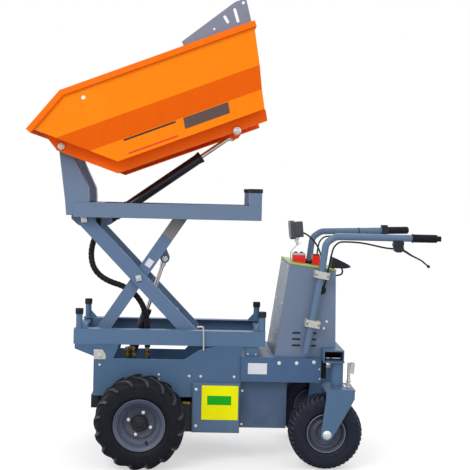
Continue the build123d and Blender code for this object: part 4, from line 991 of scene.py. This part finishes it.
lever.lathe([(max(0.0, r) if 0 < k < 12 else 0, h) for k, (r, h) in enumerate(ball)], P(1121, -225, 926), (0, 1, 0), 24, 0)
o = lever.obj("brake_lever_shaped", "root", "black_metal", ["black_paint"], bevel=0.0009)
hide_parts("brake_lever")

# rings along the grips
grip_rings = Shape()
for n in range(13):
    x = 1052 + 7.2 * n
    grip_rings.lathe(
        [(0.0183, -0.0013), (0.0191, -0.0009), (0.0191, 0.0009), (0.0183, 0.0013)],
        P(x, -225, 1054), (1, 0, 0), 32, 0, closed=True,
    )
grip_rings.obj("grip_rings", "root", "rubber", ["grip"])

# ------------------------------------------------------------- locking pin, bracket
lock = Shape()
rod_points = smooth_line(
    "lock_pin_line",
    [P(x, -212, z) for x, z in (
        (96.1, 516), (95.2, 555), (94.2, 596), (93.4, 617), (90.6, 624.4), (84, 625.4),
        (72, 624.2), (62.9, 623.2),
    )],
    5,
)
lock.tube(rod_points, 0.0042, 12)
lock.obj("lock_pin", "root", "chrome", ["zinc"], sharp=50)

lashing = Shape()
for hand, sign in SIDES:
    out = OUT[sign]
    lashing.prism([P(x, sign * 204.6, z) for x, z in ((-408, 466), (-352, 466), (-352, 486), (-368, 511), (-408, 511))], out * 0.0036)
    lashing.bolt(P(-380, sign * 208.2, 482), out, 0.0064)
lashing.obj("lashing_brackets", "root", "steel", ["zinc"], bevel=0.0008)

# ------------------------------------------------------------- swivel lock's handle
for hand, sign in SIDES:
    y = sign * 250
    swivel_lock = Shape()
    outline = ((770, 480.6), (787.6, 480.9), (784, 430), (760, 435))
    swivel_lock.prism([P(x, y + 11, z) for x, z in outline], Vector((0, -0.003, 0)))
    swivel_lock.prism([P(x, y - 8, z) for x, z in outline], Vector((0, -0.003, 0)))
    swivel_lock.prism(
        [P(x, y + 9, z) for x, z in ((784, 480.8), (787.5, 480.9), (784, 431), (780.4, 431.6))],
        Vector((0, -0.018, 0)),
    )
    swivel_lock.rod(P(762, y, 384), P(762, y, 481.2), 0.0073, steps=24, chamfer=0.0006)
    swivel_lock.lathe(
        [(0.0070, 0.0), (0.0105, 0.0), (0.0105, 0.010), (0.0070, 0.010)], P(762, y, 391), UP, 20, closed=True,
    )
    swivel_lock.box(P(762, y, 378.4), (0.0208, 0.0308, 0.0144))
    swivel_lock.box(P(754, y, 372.2), (0.029, 0.046, 0.0030))
    swivel_lock.obj(f"{hand}_swivel_lock", f"{hand}_fork", "chrome", ["zinc"], bevel=0.0006)

# ------------------------------------------------------------------ motor, fittings
motor = Shape()
for hand, sign in SIDES:
    out = OUT[sign]
    motor.box(P(24, sign * 140, 203), (0.050, 0.110, 0.136), mat=0)
    motor.box(P(24, sign * 195.2, 203), (0.040, 0.0016, 0.116), mat=0)
    motor.box(P(22, sign * 195.4, 268.5), (0.036, 0.0018, 0.011), mat=1)
    for z in (150, 190, 225):
        motor.box(P(24, sign * 195.9, z), (0.044, 0.004, 0.006), mat=0)
motor.obj("motor_ends", "root", "black_metal", ["motor", "brass"], bevel=0.0016)

fittings = Shape()
for x in (-265, -235, -170):
    at = P(x, -66, 458)
    fittings.lathe([(0.0102, 0), (0.0140, 0), (0.0140, 0.011), (0.0125, 0.013), (0.0102, 0.013)], at, UP, 6, 0, closed=True)
    fittings.lathe([(0.0102, 0), (0.0126, 0), (0.0126, 0.016), (0.0102, 0.017)], at + UP * 0.014, UP, 24, 0, closed=True)
fittings.lathe([(0.0102, 0), (0.0150, 0), (0.0150, 0.010), (0.0102, 0.010)], P(-250, -66, 492), UP, 6, 0, closed=True)
for x in (-276, -222, -156):
    fittings.bolt(P(x, -74, 434), UP, 0.0052, 1, 1)
fittings.obj("manifold_fittings", "root", "steel", ["brass", "zinc_painted_highlight"], bevel=0.0006)

# --------------------------------------------------------------------------- lamp
lamp_out = Vector((-math.cos(0.1), 0, -math.sin(0.1)))
lamp_up = Vector((-math.sin(0.1), 0, math.cos(0.1)))
lamp_at = P(558, -20, 1077)
lens = Shape()


def rounded(centre, across, rise, half_w, half_h, r, steps=6):
    corners = []
    for k, (i, j) in enumerate(((1, 1), (-1, 1), (-1, -1), (1, -1))):
        for n in range(steps + 1):
            a = math.pi / 2 * (k + n / steps)
            corners.append(
                centre + across * (i * (half_w - r) + r * math.cos(a)) + rise * (j * (half_h - r) + r * math.sin(a))
            )
    return corners


across = Vector((0, 1, 0))
lens.prism(rounded(lamp_at + lamp_out * 0.0555, across, lamp_up, 0.0385, 0.0385, 0.009), lamp_out * 0.0028, 0)
for n in range(5):
    lens.box(lamp_at + lamp_out * 0.0586 + across * (n - 2) * 0.0135, (0.0016, 0.0016, 0.070), (lamp_out, across, lamp_up), 0)
for n in range(7):
    t = (n - 3) * 0.0105
    lens.box(lamp_at + lamp_out * 0.0155 + across * t, (0.040, 0.0024, 0.074), (lamp_out, across, lamp_up), 1)
lens.obj("lamp_lens", "root", "black_plastic", ["lens", "lamp"], bevel=0.0006)
lamp_bolt = Shape()
lamp_bolt.bolt(P(536, -12, 1020), OUT[-1], 0.0058, 0, 0)
lamp_bolt.bolt(P(536, -28, 1020), OUT[-1], 0.0058, 0, 0)
lamp_bolt.obj("lamp_bolt", "root", "steel", ["zinc_painted_highlight"])

# ------------------------------------------------------------------------ switches
switches = Shape()
switches.box(P(543, -60, 960.6), (0.058, 0.040, 0.011), mat=0)
for x in (528, 556):
    switches.lathe([(0, 0), (0.0085, 0), (0.0085, 0.004), (0.0065, 0.0052), (0, 0.0052)], P(x, -60, 965.8), UP, 24, 1)
switches.box(P(543, -82.6, 938), (0.046, 0.0016, 0.010), mat=2)
switches.box(P(624, -60, 958.2), (0.030, 0.036, 0.006), mat=1)
switches.lathe([(0, 0), (0.0135, 0), (0.0150, 0.003), (0.0150, 0.015), (0.0120, 0.018), (0, 0.018)], P(590, -60, 914), UP, 28, 1)
switches.lathe([(0, 0), (0.0135, 0), (0.0150, 0.003), (0.0150, 0.014), (0.0120, 0.017), (0, 0.017)], P(590, 45, 914), UP, 28, 1)
switches.obj("switch_tops", "root", "black_plastic", ["clear", "plastic", "decal_red"], bevel=0.0010)

screen = Shape()
top = Vector((84, 0, -39)).normalized()
face = Vector((-top.z, 0, top.x))
centre = P(739, -80, 931.5)
screen.box(centre + face * 0.0005, (0.078, 0.074, 0.0026), (top, across, face), 0)
screen.box(centre + face * 0.0020, (0.052, 0.060, 0.0012), (top, across, face), 1)
screen.obj("display_face", "root", "black_plastic", ["plastic", "screen"], bevel=0.0008)

# ------------------------------------------------------- sleeve on the tip cylinder
axis = Vector((599.0, 0, 425.9)).normalized()
base = P(-374, 0, 1100)
sleeve = Shape()
sleeve.tube(
    [base + axis * (0.044 + 0.0012 * n) for n in range(62)],
    wrap(0.0296, 0.0022, 0.0105, 0.8), 56, cap=False,
)
for start in (0.0430, 0.1172):
    sleeve.lathe(
        [(0.0264, 0), (0.0292, 0), (0.0296, 0.0006), (0.0292, 0.0016), (0.0264, 0.0016)],
        base + axis * start, axis, 56, 0, closed=True,
    )
sleeve.obj("barrel_sleeve", "tip_cylinder", "hose", ["sleeve"], sharp=50)
bands = Shape()
bands.lathe([(0.0262, 0), (0.0288, 0.0004), (0.0288, 0.0110), (0.0262, 0.0114)], base + axis * 0.5315, axis, 48, 0, closed=True)
bands.obj("barrel_gland", "tip_cylinder", "black_metal", ["black_paint"])

# ------------------------------------------- brown tint and weld at the arms' ends
arm_marks = Shape()
rise = Vector((math.cos(math.radians(56.3)), 0, math.sin(math.radians(56.3))))
side_on = Vector((-rise.z, 0, rise.x))
for hand, sign in SIDES:
    foot = P(-419, sign * 122.7, 528)
    for near, far, half, thick, mat in ((0.598, 0.6015, 0.0288, 0.0012, 1), (0.6015, 0.700, 0.0286, 0.0006, 0)):
        corners = [foot + rise * a + side_on * b for a, b in ((near, -half), (far, -half), (far, half), (near, half))]
        arm_marks.prism(corners, OUT[sign] * thick, mat)
arm_marks.obj("arm_marks", "inner_arms", "body_paint", ["arm_brown", "arm"])
tags = Shape()
for hand, sign in SIDES:
    foot = P(-419, sign * 122.7, 528)
    corners = [foot + rise * a + side_on * b for a, b in ((0.436, -0.016), (0.474, -0.016), (0.474, 0.014), (0.436, 0.014))]
    tags.prism(corners, OUT[sign] * 0.0008)
tags.obj("arm_tags", "inner_arms", "panel_yellow", ["white"])

# painted shade: dark sheets inside the open ends of the beam; a dark block fills the gap in front of the casters
dark_fillers = Shape()
for hand, sign in SIDES:
    dark_fillers.box(P(687, sign * 172, 493.4), (0.0825, 0.068, 0.0018))
    dark_fillers.box(P(687, sign * 138.2, 513), (0.0825, 0.0030, 0.0400))
    dark_fillers.box(P(687, sign * 209, 531.8), (0.0825, 0.140, 0.0016))
    dark_fillers.box(P(656, sign * 167, 436), (0.024, 0.034, 0.090))
dark_fillers.obj("beam_painted_shade_and_gap_block", "root", "black_plastic", ["dark"])


# -------------------------------------------------------------------------- floor
floor_mesh = bpy.data.meshes.new("floor")
floor_mesh.from_pydata([(-30, -30, 0), (30, -30, 0), (30, 30, 0), (-30, 30, 0)], [], [(0, 1, 2, 3)])
floor = bpy.data.objects.new("floor", floor_mesh)
bpy.context.scene.collection.objects.link(floor)
ground = Mat("floor_matt", 0.95, Specular_IOR_Level=0.0)
ground.set(Base_Color=ground.mix(ground.noise(1.5, 3), (0.50, 0.50, 0.50), (0.52, 0.52, 0.52)))
# what the camera sees of the floor is lifted, so that its far edge meets the sky
floor_tree = ground.t
lift = floor_tree.nodes.new("ShaderNodeEmission")
lift.inputs["Color"].default_value = (1, 1, 1, 1)
seen_by, how = floor_tree.nodes.new("ShaderNodeLightPath"), floor_tree.nodes.new("ShaderNodeMath")
how.operation = "MULTIPLY"
how.inputs[1].default_value = 0.52
floor_tree.links.new(seen_by.outputs["Is Camera Ray"], how.inputs[0])
floor_tree.links.new(how.outputs[0], lift.inputs["Strength"])
both = floor_tree.nodes.new("ShaderNodeAddShader")
output = next(n for n in floor_tree.nodes if n.type == "OUTPUT_MATERIAL")
floor_tree.links.new(output.inputs["Surface"].links[0].from_socket, both.inputs[0])
floor_tree.links.new(lift.outputs["Emission"], both.inputs[1])
floor_tree.links.new(both.outputs["Shader"], output.inputs["Surface"])
floor_mesh.materials.append(ground.m)
